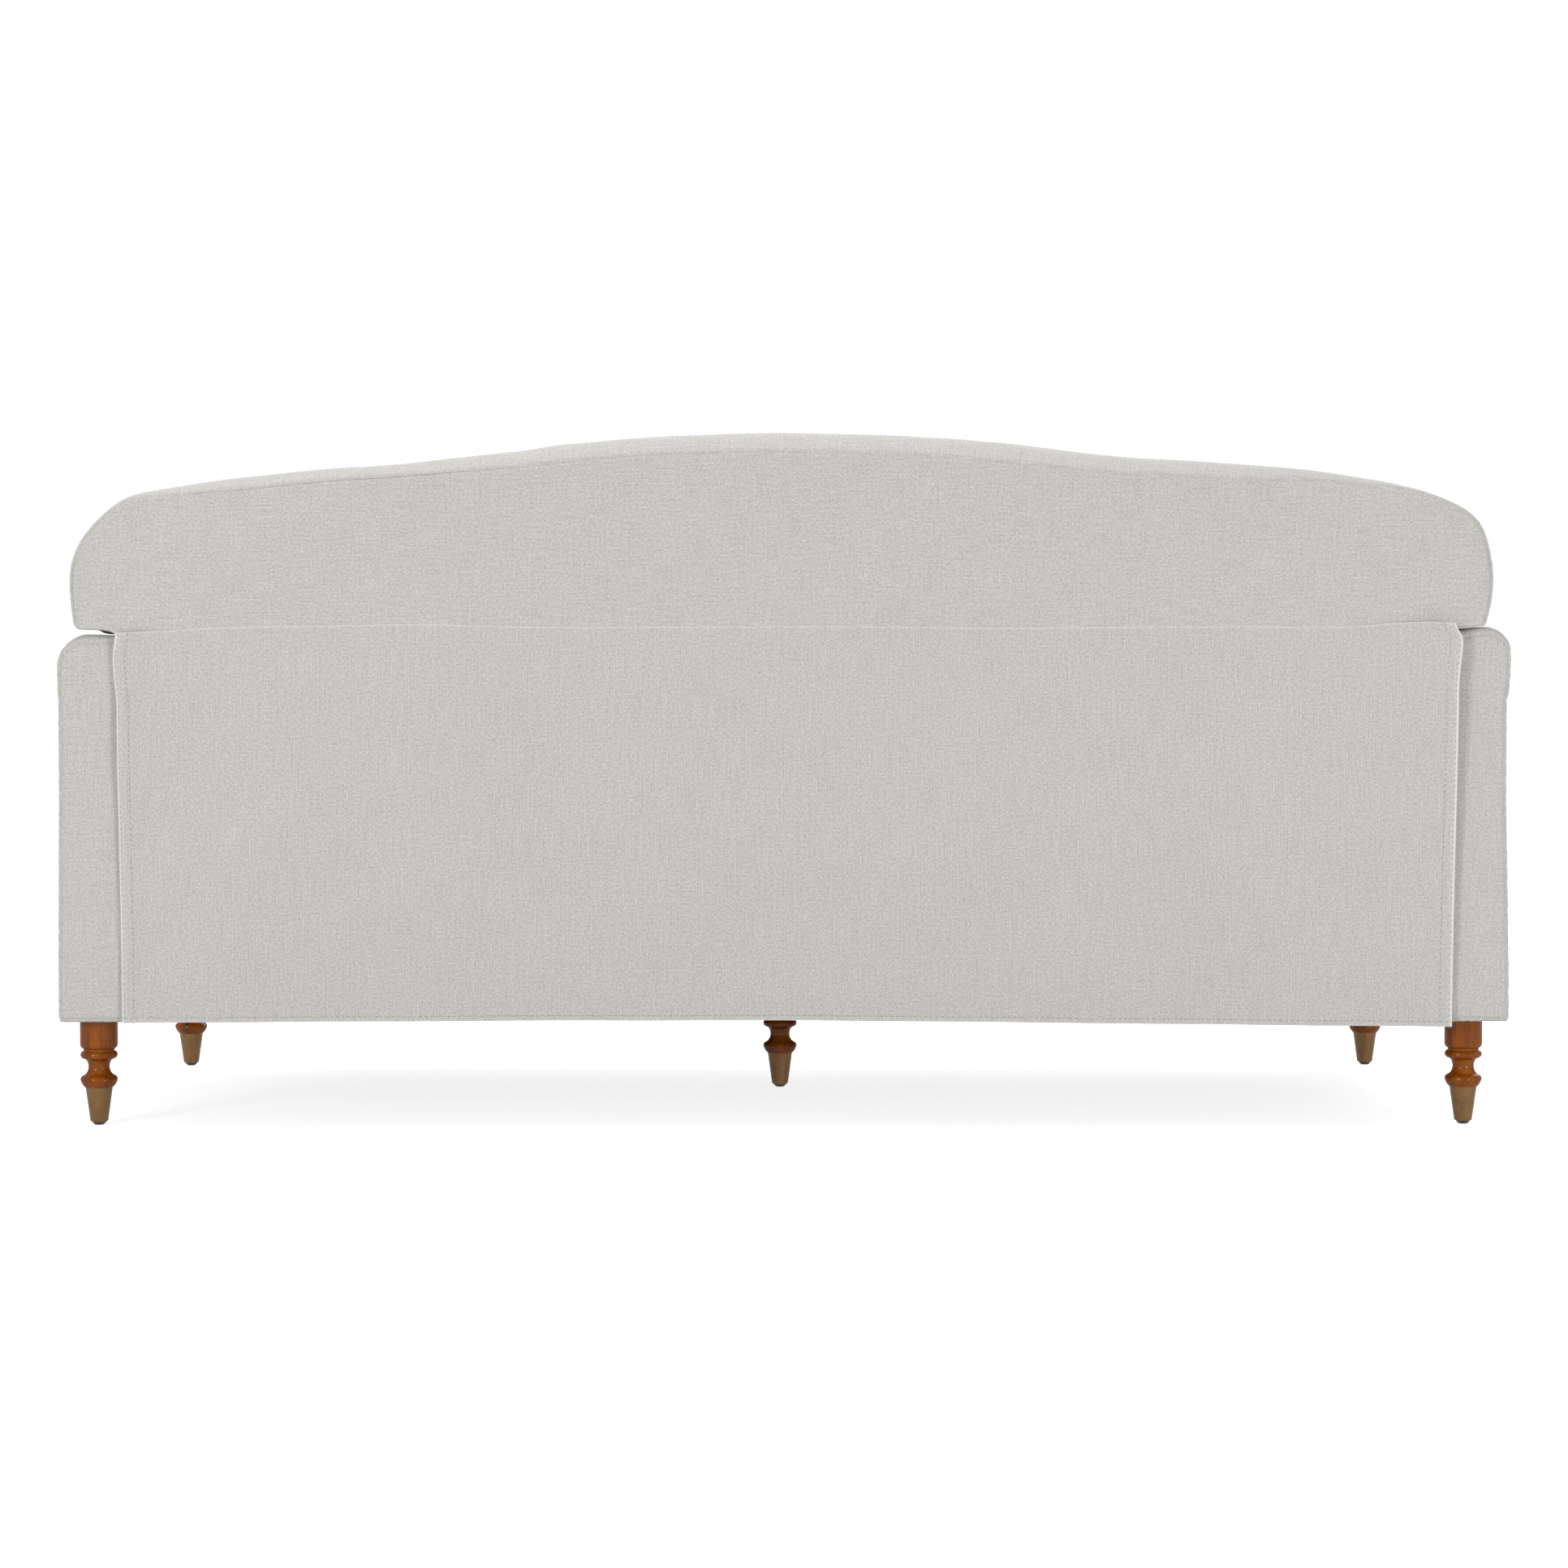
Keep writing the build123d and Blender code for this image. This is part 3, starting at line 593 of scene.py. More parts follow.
def bell(distance: Array, width: float) -> Array:
    """A hump that is 1 at distance 0 and fades over a width."""
    return np.exp(-((distance / width) ** 2))


def clamped(share: Array) -> Array:
    """A share held between 0 and 1."""
    return np.clip(share, 0.0, 1.0)


def smooth(share: Array) -> Array:
    """A share that starts and ends gently."""
    return share * share * (3.0 - 2.0 * share)


def eased(places: Array, knots: Sequence[tuple[float, float]]) -> Array:
    """Run smoothly through a few knots.

    Args:
        places: Where to read the curve.
        knots: Places and values, in order.

    Returns:
        The values at the places.
    """
    at = np.array([knot[0] for knot in knots])
    value = np.array([knot[1] for knot in knots])
    leg = np.clip(np.searchsorted(at, places, side="right") - 1, 0, len(at) - 2)
    share = np.clip((places - at[leg]) / (at[leg + 1] - at[leg]), 0.0, 1.0)
    return value[leg] + (value[leg + 1] - value[leg]) * share * share * (3.0 - 2.0 * share)


def arc(centre: Point, radius: float, start: float, end: float, count: int = 24) -> list[Point]:
    """Points on an arc from one angle to another in degrees, ends included."""
    angles = np.radians(np.linspace(start, end, count + 1))
    return [(centre[0] + radius * math.cos(a), centre[1] + radius * math.sin(a)) for a in angles]


def turned(way: Array, angle: float) -> Array:
    """A direction turned by an angle."""
    cosine, sine = math.cos(angle), math.sin(angle)
    return np.array([way[0] * cosine - way[1] * sine, way[0] * sine + way[1] * cosine])


def tangent_arc(start: Array, way: Array, end: Array, count: int = 40) -> tuple[list[Array], Array]:
    """Points on the arc that leaves a point in one direction and ends at another.

    Args:
        start: First point.
        way: Direction at the first point.
        end: Last point.
        count: Number of steps.

    Returns:
        The points after the first, and the direction at the last.
    """
    way = way / np.linalg.norm(way)
    chord = end - start
    reach = np.linalg.norm(chord)
    bend = math.atan2(way[0] * chord[1] - way[1] * chord[0], way @ chord)
    if abs(bend) < STRAIGHT:
        return [start + chord * share for share in np.linspace(0, 1, count + 1)[1:]], way
    radius = reach / (2.0 * math.sin(bend))
    centre = start + radius * np.array([-way[1], way[0]])
    angles = np.linspace(0.0, 2.0 * bend, count + 1)[1:]
    return [centre + turned(start - centre, angle) for angle in angles], turned(way, 2.0 * bend)


def resample(path: Sequence, count: int) -> Array:
    """Space a path's points evenly.

    Args:
        path: The path's points.
        count: Number of steps.

    Returns:
        count + 1 points.
    """
    points = np.array(path, float)
    run = np.concatenate([[0.0], np.cumsum(np.linalg.norm(np.diff(points, axis=0), axis=1))])
    places = np.linspace(0.0, run[-1], count + 1)
    return np.stack([np.interp(places, run, points[:, k]) for k in range(points.shape[1])], axis=1)


@dataclass
class Outline:
    """A closed outline in two halves of equal count, so that its panels close on a spine between them."""

    points: Array
    normals: Array
    spine: Array
    run: Array

    @staticmethod
    def from_halves(
        first: Sequence, second: Sequence, step: float, shrink: Point, level: float | None = None
    ) -> "Outline":
        """Build an outline from two paths with the same ends.

        Args:
            first: One half.
            second: The other half, from the same start to the same end.
            step: Spacing of the points.
            shrink: How far the spine keeps of its length along each coordinate.
            level: The spine's middle along the second coordinate, or None for the outline's own.

        Returns:
            The outline.
        """
        paths = [np.array(half, float) for half in (first, second)]
        longest = max(np.linalg.norm(np.diff(path, axis=0), axis=1).sum() for path in paths)
        count = int(round(longest / step))
        one, two = resample(first, count), resample(second, count)
        ring = np.vstack([one, two[-2:0:-1]])
        facing = np.vstack([two, one[-2:0:-1]])
        middle = (ring + facing) / 2
        centre = (ring.min(axis=0) + ring.max(axis=0)) / 2
        spine = centre + (middle - centre) * np.array(shrink)
        if level is not None:
            spine[:, 1] += level - centre[1]
        tangent = np.roll(ring, -1, axis=0) - np.roll(ring, 1, axis=0)
        tangent /= np.linalg.norm(tangent, axis=1)[:, None]
        following = np.roll(ring, -1, axis=0)
        area = (ring[:, 0] * following[:, 1] - ring[:, 1] * following[:, 0]).sum()
        normals = np.stack([tangent[:, 1], -tangent[:, 0]], axis=1) * np.sign(area)
        steps = np.linalg.norm(following - ring, axis=1)
        run = np.concatenate([[0.0], np.cumsum(steps)])
        return Outline(ring, normals, spine, run)


@dataclass(frozen=True)
class Seam:
    """A sewn edge: a groove, the cloth swelling beside it and small puckers."""

    groove: float = 0.0013
    width: float = 0.0014
    swell: float = 0.0005
    pucker: float = 0.00045
    reach: float = 0.015
    swell_at: float = 0.007
    swell_width: float = 0.005
    tight: float = 0.002
    shortest: float = 0.009
    longest: float = 0.034


@dataclass
class Rim:
    """How a panel's edge turns into the band, all round.

    Its sizes are its width in the panel, its depth and how flat it leans.
    """

    inset: Array
    depth: Array
    flat: Array | float = 0.0


@dataclass
class PaddedForm:
    """A closed upholstered form, as rings round one outline: panel, rim, band, rim, panel.

    The near panel has the larger depth. Depth is a coordinate of the frame, as axes says.
    """

    name: str
    outline: Outline
    near: Surface
    far: Surface
    near_rim: Rim
    far_rim: Rim
    near_crown: float
    far_crown: float
    band_rows: int
    seed: int
    ripple: float = 0.0009
    seam: Seam = Seam()
    axes: tuple[int, int, int] = (0, 2, 1)
    near_slot: int = 0
    panel_step: float = 0.014
    sewn: Array | float = 1.0
    sag: Surface | None = None

    EDGE_ROWS = (0.0012, 0.0026, 0.0045, 0.007, 0.0105, 0.015, 0.021, 0.03)
    EDGE_SHARE = 0.8
    RIM_ANGLES = (0.035, 0.08, 0.14, 0.22, 0.34, 0.5, 0.7, 0.95, 1.2, math.pi / 2)
    RIPPLES = 40
    SHORT_RIPPLE = 0.06
    LONG_RIPPLE = 0.5
    CALM = 0.03

    def panel_shares(self, edge: Array) -> list[Array]:
        """Shares of the way from a panel's seam to the spine, row by row.

        Args:
            edge: The seam's points.

        Returns:
            One array of shares for each row, from the seam inwards, without the seam itself.
        """
        reach = np.linalg.norm(self.outline.spine - edge, axis=1)
        room = np.minimum(1.0, self.EDGE_SHARE * reach / self.EDGE_ROWS[-1])
        rows = [distance * room / reach for distance in self.EDGE_ROWS]
        inner = max(2, int(math.ceil((reach.max() - self.EDGE_ROWS[-1]) / self.panel_step)))
        last = rows[-1]
        rows += [last + (1.0 - last) * share for share in np.linspace(0.0, 1.0, inner + 1)[1:]]
        return rows

    def panel_rows(self, surface: Surface, rim: Rim, crown: float) -> list[Row]:
        """Lay out one panel.

        Args:
            surface: The panel's depth over outline coordinates.
            rim: The rim round it.
            crown: How far it swells in the middle.

        Returns:
            Outline coordinates and depths of each row, from the seam to the spine.
        """
        edge = self.outline.points - self.outline.normals * rim.inset[:, None]
        rows = [(edge, surface(edge))]
        for share in self.panel_shares(edge):
            spot = edge + (self.outline.spine - edge) * share[:, None]
            rows.append((spot, surface(spot) + crown * (1.0 - (1.0 - share) ** 2)))
        return rows

    def rim_rows(self, surface: Surface, rim: Rim, sign: float) -> list[Row]:
        """Lay out one rim.

        Args:
            surface: Its panel's depth over outline coordinates.
            rim: The rim.
            sign: 1 for the near rim, -1 for the far rim.

        Returns:
            Outline coordinates and depths of each row, from the seam to the band.
        """
        rows = []
        for angle in self.RIM_ANGLES:
            share = angle / (math.pi / 2)
            short = (1.0 - math.sin(angle)) * (1.0 - rim.flat) + (1.0 - share) * rim.flat
            deep = (1.0 - math.cos(angle)) * (1.0 - rim.flat) + share * rim.flat
            spot = self.outline.points - self.outline.normals * (rim.inset * short)[:, None]
            rows.append((spot, surface(spot) - sign * rim.depth * deep))
        return rows

    def rings(self) -> tuple[Array, Array, int, int]:
        """Lay out the rings.

        Returns:
            Outline coordinates of every ring, their depths, and the places of the two seams.
        """
        near_rows = self.panel_rows(self.near, self.near_rim, self.near_crown)[::-1]
        near_turn = self.rim_rows(self.near, self.near_rim, 1.0)
        far_turn = self.rim_rows(self.far, self.far_rim, -1.0)[::-1]
        far_rows = self.panel_rows(self.far, self.far_rim, -self.far_crown)
        begin, stop = near_turn[-1][1], far_turn[0][1]
        shares = np.linspace(0, 1, self.band_rows + 1)[1:-1]
        band = [(self.outline.points, begin + (stop - begin) * share) for share in shares]
        rows = [*near_rows, *near_turn, *band, *far_turn, *far_rows]
        flat = np.array([spot for spot, _ in rows])
        depth = np.array([level for _, level in rows])
        return flat, depth, len(near_rows) - 1, len(rows) - len(far_rows)

    def outward(self, points: Array, band_row: int) -> Array:
        """Find which way is out.

        Args:
            points: The rings' points.
            band_row: A ring in the middle of the band.

        Returns:
            One direction for each point, straight along the depth where the panels close.
        """
        around = np.roll(points, -1, axis=1) - np.roll(points, 1, axis=1)
        normal = np.cross(around, np.gradient(points, axis=0))
        normal /= np.maximum(np.linalg.norm(normal, axis=2), TINY)[..., None]
        sideways = np.zeros((points.shape[1], 3))
        sideways[:, self.axes[0]] = self.outline.normals[:, 0]
        sideways[:, self.axes[1]] = self.outline.normals[:, 1]
        normal *= np.sign((normal[band_row] * sideways).sum())
        for row, way in ((0, 1.0), (-1, -1.0)):
            normal[row] = 0.0
            normal[row][:, self.axes[2]] = way
        return normal

    def lift(self, points: Array, apart: Array) -> Array:
        """Draw the seams' grooves, the swell and puckers beside them, and the ripples between.

        Args:
            points: The rings' points.
            apart: Their distances from the nearer seam.

        Returns:
            How far each point stands out.
        """
        seam, run = self.seam, self.outline.run
        puckers = Puckers(self.seed, run[-1], seam.shortest, seam.longest).at(run[:-1])
        waves = Waves(self.seed + 1, self.RIPPLES, self.SHORT_RIPPLE, self.LONG_RIPPLE).at(points)
        lift = -seam.groove * self.sewn * bell(apart, seam.width)
        lift += seam.swell * bell(apart - seam.swell_at, seam.swell_width)
        lift += seam.pucker * puckers * np.exp(-apart / seam.reach) * (1 - bell(apart, seam.tight))
        lift += self.ripple * waves * (1.0 - bell(apart, self.CALM))
        return lift

    def build(self, materials: Sequence[bpy.types.Material]) -> bpy.types.Object:
        """Make the form's object.

        Args:
            materials: The cloth, and the near panel's own material where near_slot names it.

        Returns:
            The new object, at the origin.
        """
        flat, depth, first, second = self.rings()
        columns = depth.shape[1]
        points = np.zeros((*depth.shape, 3))
        points[..., self.axes[0]] = flat[..., 0]
        points[..., self.axes[1]] = flat[..., 1]
        points[..., self.axes[2]] = depth
        spans = np.linalg.norm(np.diff(points, axis=0), axis=2)
        section = np.concatenate([np.zeros((1, columns)), np.cumsum(spans, axis=0)])
        apart = np.minimum(np.abs(section - section[first]), np.abs(section - section[second]))
        shift = self.outward(points, (first + second) // 2) * self.lift(points, apart)[..., None]
        points += shift
        if self.sag is not None:
            points[..., 2] -= self.sag(points)
        facing = (-np.arange(columns)) % columns
        for row in (0, -1):
            points[row] = (points[row] + points[row][facing]) / 2
        return self.mesh_object(points, flat, section, first, second, materials)

    def mesh_object(
        self, points: Array, flat: Array, section: Array, first: int, second: int,
        materials: Sequence[bpy.types.Material],
    ) -> bpy.types.Object:
        """Join the rings into one closed mesh with cloth coordinates in metres.

        Args:
            points: The rings' points.
            flat: Their outline coordinates.
            section: Their distances along the section.
            first: The near seam's row.
            second: The far seam's row.
            materials: The form's materials.

        Returns:
            The new object.
        """
        rows, columns = section.shape
        row, column = np.meshgrid(np.arange(rows - 1), np.arange(columns), indexing="ij")
        following = (column + 1) % columns
        corners = [(row, column, column), (row, following, column + 1)]
        corners += [(row + 1, following, column + 1), (row + 1, column, column)]
        faces = np.stack([r * columns + c for r, c, _ in corners], axis=-1).reshape(-1, 4)
        band = ((row >= first) & (row < second))[..., None]
        maps = []
        for r, c, place in corners:
            on_band = np.stack([self.outline.run[place], section[r, c]], axis=-1)
            maps.append(np.where(band, on_band, flat[r, c]))
        cloth = np.stack(maps, axis=2).reshape(-1, 2)
        slots = np.where(row < first, self.near_slot, 0).reshape(-1)
        return closed_mesh(self.name, points.reshape(-1, 3), faces.tolist(), cloth, materials, slots)


def place_object(name: str, data: bpy.types.ID) -> bpy.types.Object:
    """Put a new object into the scene.

    Args:
        name: Its name.
        data: Its mesh, camera or light.

    Returns:
        The new object, at the origin.
    """
    placed = bpy.data.objects.new(name, data)
    bpy.context.scene.collection.objects.link(placed)
    return placed


def lay_cloth(mesh: bpy.types.Mesh, cloth: Array) -> None:
    """Give every face corner of a mesh its cloth coordinates, in metres."""
    layer = mesh.uv_layers.new(name=CLOTH_MAP)
    layer.data.foreach_set("uv", cloth.astype(np.float32).ravel())


def closed_mesh(
    name: str, points: Array, faces: list[list[int]], cloth: Array, materials: Sequence[bpy.types.Material],
    slots: Array | None = None, fold: Array | None = None, rounded: bool = True,
) -> bpy.types.Object:
    """Make a closed mesh object.

    Args:
        name: The piece's name.
        points: Its points.
        faces: Its faces, as places in points.
        cloth: Cloth coordinates of every face corner, in metres.
        materials: Its materials.
        slots: Material place of every face.
        fold: How far each point takes the painted highlight, 0 to 1.
        rounded: Whether its faces are shaded smooth.

    Returns:
        The new object, at the origin.
    """
    mesh = bpy.data.meshes.new(name)
    mesh.from_pydata(points.tolist(), [], faces)
    lay_cloth(mesh, cloth)
    if slots is not None:
        mesh.polygons.foreach_set("material_index", slots.astype(np.int32))
    if fold is not None:
        mesh.attributes.new(HIGHLIGHT_MAP, "FLOAT", "POINT").data.foreach_set("value", fold.astype(np.float32))
    work = bmesh.new()
    work.from_mesh(mesh)
    bmesh.ops.remove_doubles(work, verts=work.verts, dist=MERGE)
    bmesh.ops.recalc_face_normals(work, faces=work.faces)
    for face in work.faces:
        face.smooth = rounded
    work.to_mesh(mesh)
    work.free()
    for material in materials:
        mesh.materials.append(material)
    return place_object(name, mesh)


def slab(
    name: str, outer: Array, inner: Array, material: bpy.types.Material, cloth: Array,
    fold: Array | None = None,
) -> bpy.types.Object:
    """Make a thin closed sheet from its two faces.

    Args:
        name: The piece's name.
        outer: Grid of points of one face.
        inner: Grid of points of the other.
        material: The sheet's material.
        cloth: Grid of cloth coordinates, in metres.
        fold: Grid of how far the sheet takes the painted highlight, 0 to 1.

    Returns:
        The new object.
    """
    rows, columns = outer.shape[:2]
    count = rows * columns
    place = np.arange(count).reshape(rows, columns)
    corners = [place[:-1, :-1], place[:-1, 1:], place[1:, 1:], place[1:, :-1]]
    quads = np.stack(corners, axis=-1).reshape(-1, 4)
    border = np.concatenate([place[0, :-1], place[:-1, -1], place[-1, :0:-1], place[:0:-1, 0]])
    beyond = np.roll(border, -1)
    walls = np.stack([border, beyond, beyond + count, border + count], axis=-1)
    faces = np.concatenate([quads, quads[:, ::-1] + count, walls])
    both = np.concatenate([cloth.reshape(-1, 2)] * 2)
    points = np.concatenate([outer.reshape(-1, 3), inner.reshape(-1, 3)])
    worn = None if fold is None else np.concatenate([fold.ravel()] * 2)
    return closed_mesh(name, points, faces.tolist(), both[faces].reshape(-1, 2), [material], fold=worn)


def settle(
    piece: bpy.types.Object, body: str, nodes: Sequence[str],
    bend: tuple | None = None,
) -> bpy.types.Object:
    """Attach a finished piece to its body, or bake its transform where bend is given, and hide the solids
    that it stands for.

    Args:
        piece: The piece.
        body: The body that it rides on.
        nodes: The solids that it stands for.
        bend: The two bodies that cloth bends between, and where, or None. Its contents are not used; only
            whether it is None is read, and a piece with it is baked in place, not attached or bent.

    Returns:
        The same piece.
    """
    if bend is None:
        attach(piece, body)
    else:
        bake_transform(piece)
    if nodes:
        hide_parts(*nodes)
    LOG.info("%s: %d faces on %s", piece.name, len(piece.data.polygons), body)
    return piece


def flat_at(level: float) -> Surface:
    """A panel at one depth."""
    return lambda spots: np.full(len(spots), level)


def even_rim(outline: Outline, inset: float, depth: float) -> Rim:
    """A rim that is the same all round."""
    count = len(outline.points)
    return Rim(np.full(count, inset), np.full(count, depth))


def box_halves(low: Point, high: Point, radius: float, bow: float = 0.0) -> tuple[list, list]:
    """A rectangle with round corners, in two halves from the middle of its low side to its high side's.

    Args:
        low: Lowest corner.
        high: Highest corner.
        radius: Radius of its corners.
        bow: How far its sides draw in at their middles.

    Returns:
        The upper half and the lower half.
    """
    (left, bottom), (right, top) = low, high
    middle = (bottom + top) / 2
    between = (middle + top - radius) / 2
    straight = right - left - 2 * radius
    upper = [(left + bow, middle), (left + bow / 2, between)]
    upper += arc((left + radius, top - radius), radius, 180, 90)
    for share in np.linspace(0.0, 1.0, SIDE_STEPS + 1)[1:-1]:
        upper.append((left + radius + straight * share, top - bow * math.sin(math.pi * share)))
    upper += arc((right - radius, top - radius), radius, 90, 0)
    upper += [(right - bow / 2, between), (right - bow, middle)]
    return upper, [(x, 2 * middle - y) for x, y in upper]


@dataclass(frozen=True)
class WingShape:
    """How the cloth over one wing has settled: its foot, and the fullness of its corner."""

    draw_in: float
    foot_radius: float
    fullness: float
    full_at: tuple[float, float]
    full_reach: float


WINGS = {
    Side.LEFT: WingShape(
        draw_in=0.0105, foot_radius=0.005, fullness=0.0055, full_at=(0.872, 0.764), full_reach=0.032
    ),
    Side.RIGHT: WingShape(
        draw_in=0.006, foot_radius=0.010, fullness=-0.0070, full_at=(0.860, 0.775), full_reach=0.052
    ),
}
# The settled crest: along x, how far it lies above or below its drawn curve.
CREST = (
    (-0.88, 0.0), (-0.82, -0.004), (-0.75, -0.001), (-0.65, -0.0005), (-0.54, -0.0015), (-0.43, -0.006),
    (-0.28, -0.0022), (-0.15, -0.001), (0.0, -0.0005), (0.15, -0.0018), (0.27, -0.0042), (0.34, -0.0085),
    (0.46, -0.0110), (0.58, -0.0080), (0.76, -0.0080), (0.88, 0.0),
)
# The seam below the crest: along x, how far it lies in from the outline.
CREST_SEAM = (
    (-0.80, 0.003), (-0.735, 0.010), (-0.55, 0.022), (-0.25, 0.0255), (0.0, 0.026), (0.27, 0.0235),
    (0.47, 0.0175), (0.67, 0.017), (0.735, 0.0135), (0.79, 0.0085), (0.825, 0.0045), (0.86, 0.003),
)


@dataclass(frozen=True)
class RimSize:
    """A size of the head's rim: its own, what the top adds and what the underside takes away."""

    own: float
    top: float
    under: float

    def at(self, top: Array, under: Array) -> Array:
        """The size all round, from how far the outline faces up or down."""
        return self.own + self.top * top - self.under * under


@dataclass
class BackHead:
    """The camel-shaped head with its wings: rear panel, boxed top and raked front."""

    hump_half: float = 0.280
    hump_drop: float = 0.015
    shoulder_inset: float = 0.258
    shoulder_drop: float = 0.0485
    corner_inset: float = 0.096
    corner_drop: float = 0.073
    settled: float = 0.0035
    side_middle: float = 0.672
    rake_start: float = 0.470
    rake: float = math.radians(15.0)
    wing_rest: float = 0.6252
    flap_gap: float = 0.0004
    foot_reach: float = 0.02
    sag_reach: float = 0.03
    spine_share: Point = (0.88, 0.0)
    spine_level: float = 0.722
    top_from: float = 0.15
    top_over: float = 0.75
    seam_inset: float = 0.003
    seam_under: float = 0.0015
    rear_depth: float = 0.010
    rear_slope: float = 0.9
    rear_under: float = 0.007
    rear_flat: float = 0.75
    front_inset: RimSize = RimSize(0.020, 0.016, 0.014)
    front_depth: RimSize = RimSize(0.022, 0.014, 0.016)
    rear_crown: float = 0.0025
    front_crown: float = 0.010
    seam: Seam = Seam(groove=0.0022, width=0.0018, swell=0.0004, pucker=0.0003)
    step: float = 0.0055
    fill: float = 0.9

    SAG_ACROSS = ((0.78, 0.0), (0.80, 1.0), (0.860, 1.0), (0.867, 0.0))
    SAG_DEEP = ((-0.402, 0.0), (-0.376, 1.0))
    BAND_ROWS = 14
    SEED = 11

    def __post_init__(self) -> None:
        """Read the places that the solids give."""
        low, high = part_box("back_cover")
        self.half, self.top, self.rear, self.seat_front = high.x, high.z, high.y, low.y
        self.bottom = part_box("back_flap")[1].z + self.flap_gap

    def front(self, spots: Array) -> Array:
        """Depth of the raked front over (x, z) spots."""
        return self.seat_front + np.maximum(spots[:, 1] - self.rake_start, 0.0) * math.tan(self.rake)

    def wing(self, side: Side) -> tuple[Array, Array]:
        """One half of the outline, in sizes that grow from the middle outwards.

        Args:
            side: The half to lay out.

        Returns:
            The points from the peak down to the middle of the side, and from there round the foot.
        """
        shape = WINGS[side]
        peak = np.array([0.0, self.top - self.settled])
        hump = np.array([self.hump_half, self.top - self.hump_drop])
        shoulder = np.array([self.half - self.shoulder_inset, self.top - self.shoulder_drop])
        corner = np.array([self.half - self.corner_inset, self.top - self.corner_drop])
        over: list = [peak]
        way = np.array([1.0, 0.0])
        for start, end in ((peak, hump), (hump, shoulder), (shoulder, corner)):
            points, way = tangent_arc(start, way, end)
            over += points
        reach = self.half - corner[0]
        lean = math.atan2(-way[1], way[0])
        drop = reach * math.cos(lean) / (1.0 - math.sin(lean))
        points, way = tangent_arc(corner, way, np.array([self.half, corner[1] - drop]))
        over += points
        points, way = tangent_arc(over[-1], way, np.array([self.half - shape.draw_in, self.bottom]))
        lower = [p for p in points if self.side_middle >= p[1] > self.bottom + shape.foot_radius]
        over += [p for p in points if p[1] > self.side_middle] + [lower[0]]
        line = np.array(over)
        line[:, 1] += eased(side.value * line[:, 0], CREST)
        tangent = np.gradient(line, axis=0)
        tangent /= np.linalg.norm(tangent, axis=1)[:, None]
        away = np.linalg.norm(line - np.array(shape.full_at), axis=1)
        fullness = shape.fullness * bell(away, shape.full_reach)
        line += np.stack([-tangent[:, 1], tangent[:, 0]], axis=1) * fullness[:, None]
        foot_centre = (lower[-1][0] - shape.foot_radius, self.bottom + shape.foot_radius)
        round_foot = arc(foot_centre, shape.foot_radius, 0, -90)
        return line, np.array([tuple(p) for p in lower] + round_foot)

    def halves(self) -> tuple[Array, Array]:
        """Join the two wings.

        Returns:
            The outline over the top and the outline under the wings, both from -X to +X.
        """
        over_left, foot_left = self.wing(Side.LEFT)
        over_right, foot_right = self.wing(Side.RIGHT)
        mirror = np.array((-1.0, 1.0))
        over = np.concatenate([over_left[:0:-1] * mirror, over_right])
        under = resample(np.concatenate([foot_left * mirror, foot_right[::-1]]), OUTLINE_STEPS)
        low = clamped(1.0 - (under[:, 1] - self.bottom) / self.foot_reach)
        under[:, 1] += eased(under[:, 0], HEAD_FOOT) * low
        return over, under

    def sag(self, points: Array) -> Array:
        """Let the right wing's underside hang down in front of its rear edge.

        Args:
            points: The head's points.

        Returns:
            How far each point hangs down.
        """
        foot = self.bottom + eased(points[..., 0], HEAD_FOOT)
        low = clamped(1.0 - (points[..., 2] - foot) / self.sag_reach)
        inner = eased(points[..., 0], self.SAG_ACROSS)
        front = eased(-points[..., 1], self.SAG_DEEP)
        return np.maximum(foot - self.wing_rest, 0.0) * low * inner * front

    def build(self) -> bpy.types.Object:
        """Make the head's cloth-covered form.

        Returns:
            The finished piece.
        """
        outline = Outline.from_halves(*self.halves(), self.step, self.spine_share, self.spine_level)
        up = outline.normals[:, 1]
        top = smooth(clamped((up - self.top_from) / self.top_over))
        under = clamped(-up) ** 2
        inset = self.seam_inset + top * (eased(outline.points[:, 0], CREST_SEAM) - self.seam_inset)
        depth = self.rear_depth + self.rear_slope * (inset - self.seam_inset) - self.rear_under * under
        rear_rim = Rim(inset - self.seam_under * under, depth, self.rear_flat * top)
        front_rim = Rim(self.front_inset.at(top, under), self.front_depth.at(top, under))
        form = PaddedForm(
            "back_head", outline, flat_at(self.rear), self.front, rear_rim, front_rim, self.rear_crown,
            self.front_crown, self.BAND_ROWS, self.SEED, seam=self.seam, sewn=1.0 - under, sag=self.sag,
        )
        piece = form.build([BACK_LINEN.material()])
        return settle(piece, "backrest", ["back_cover", "back_head_padding"])


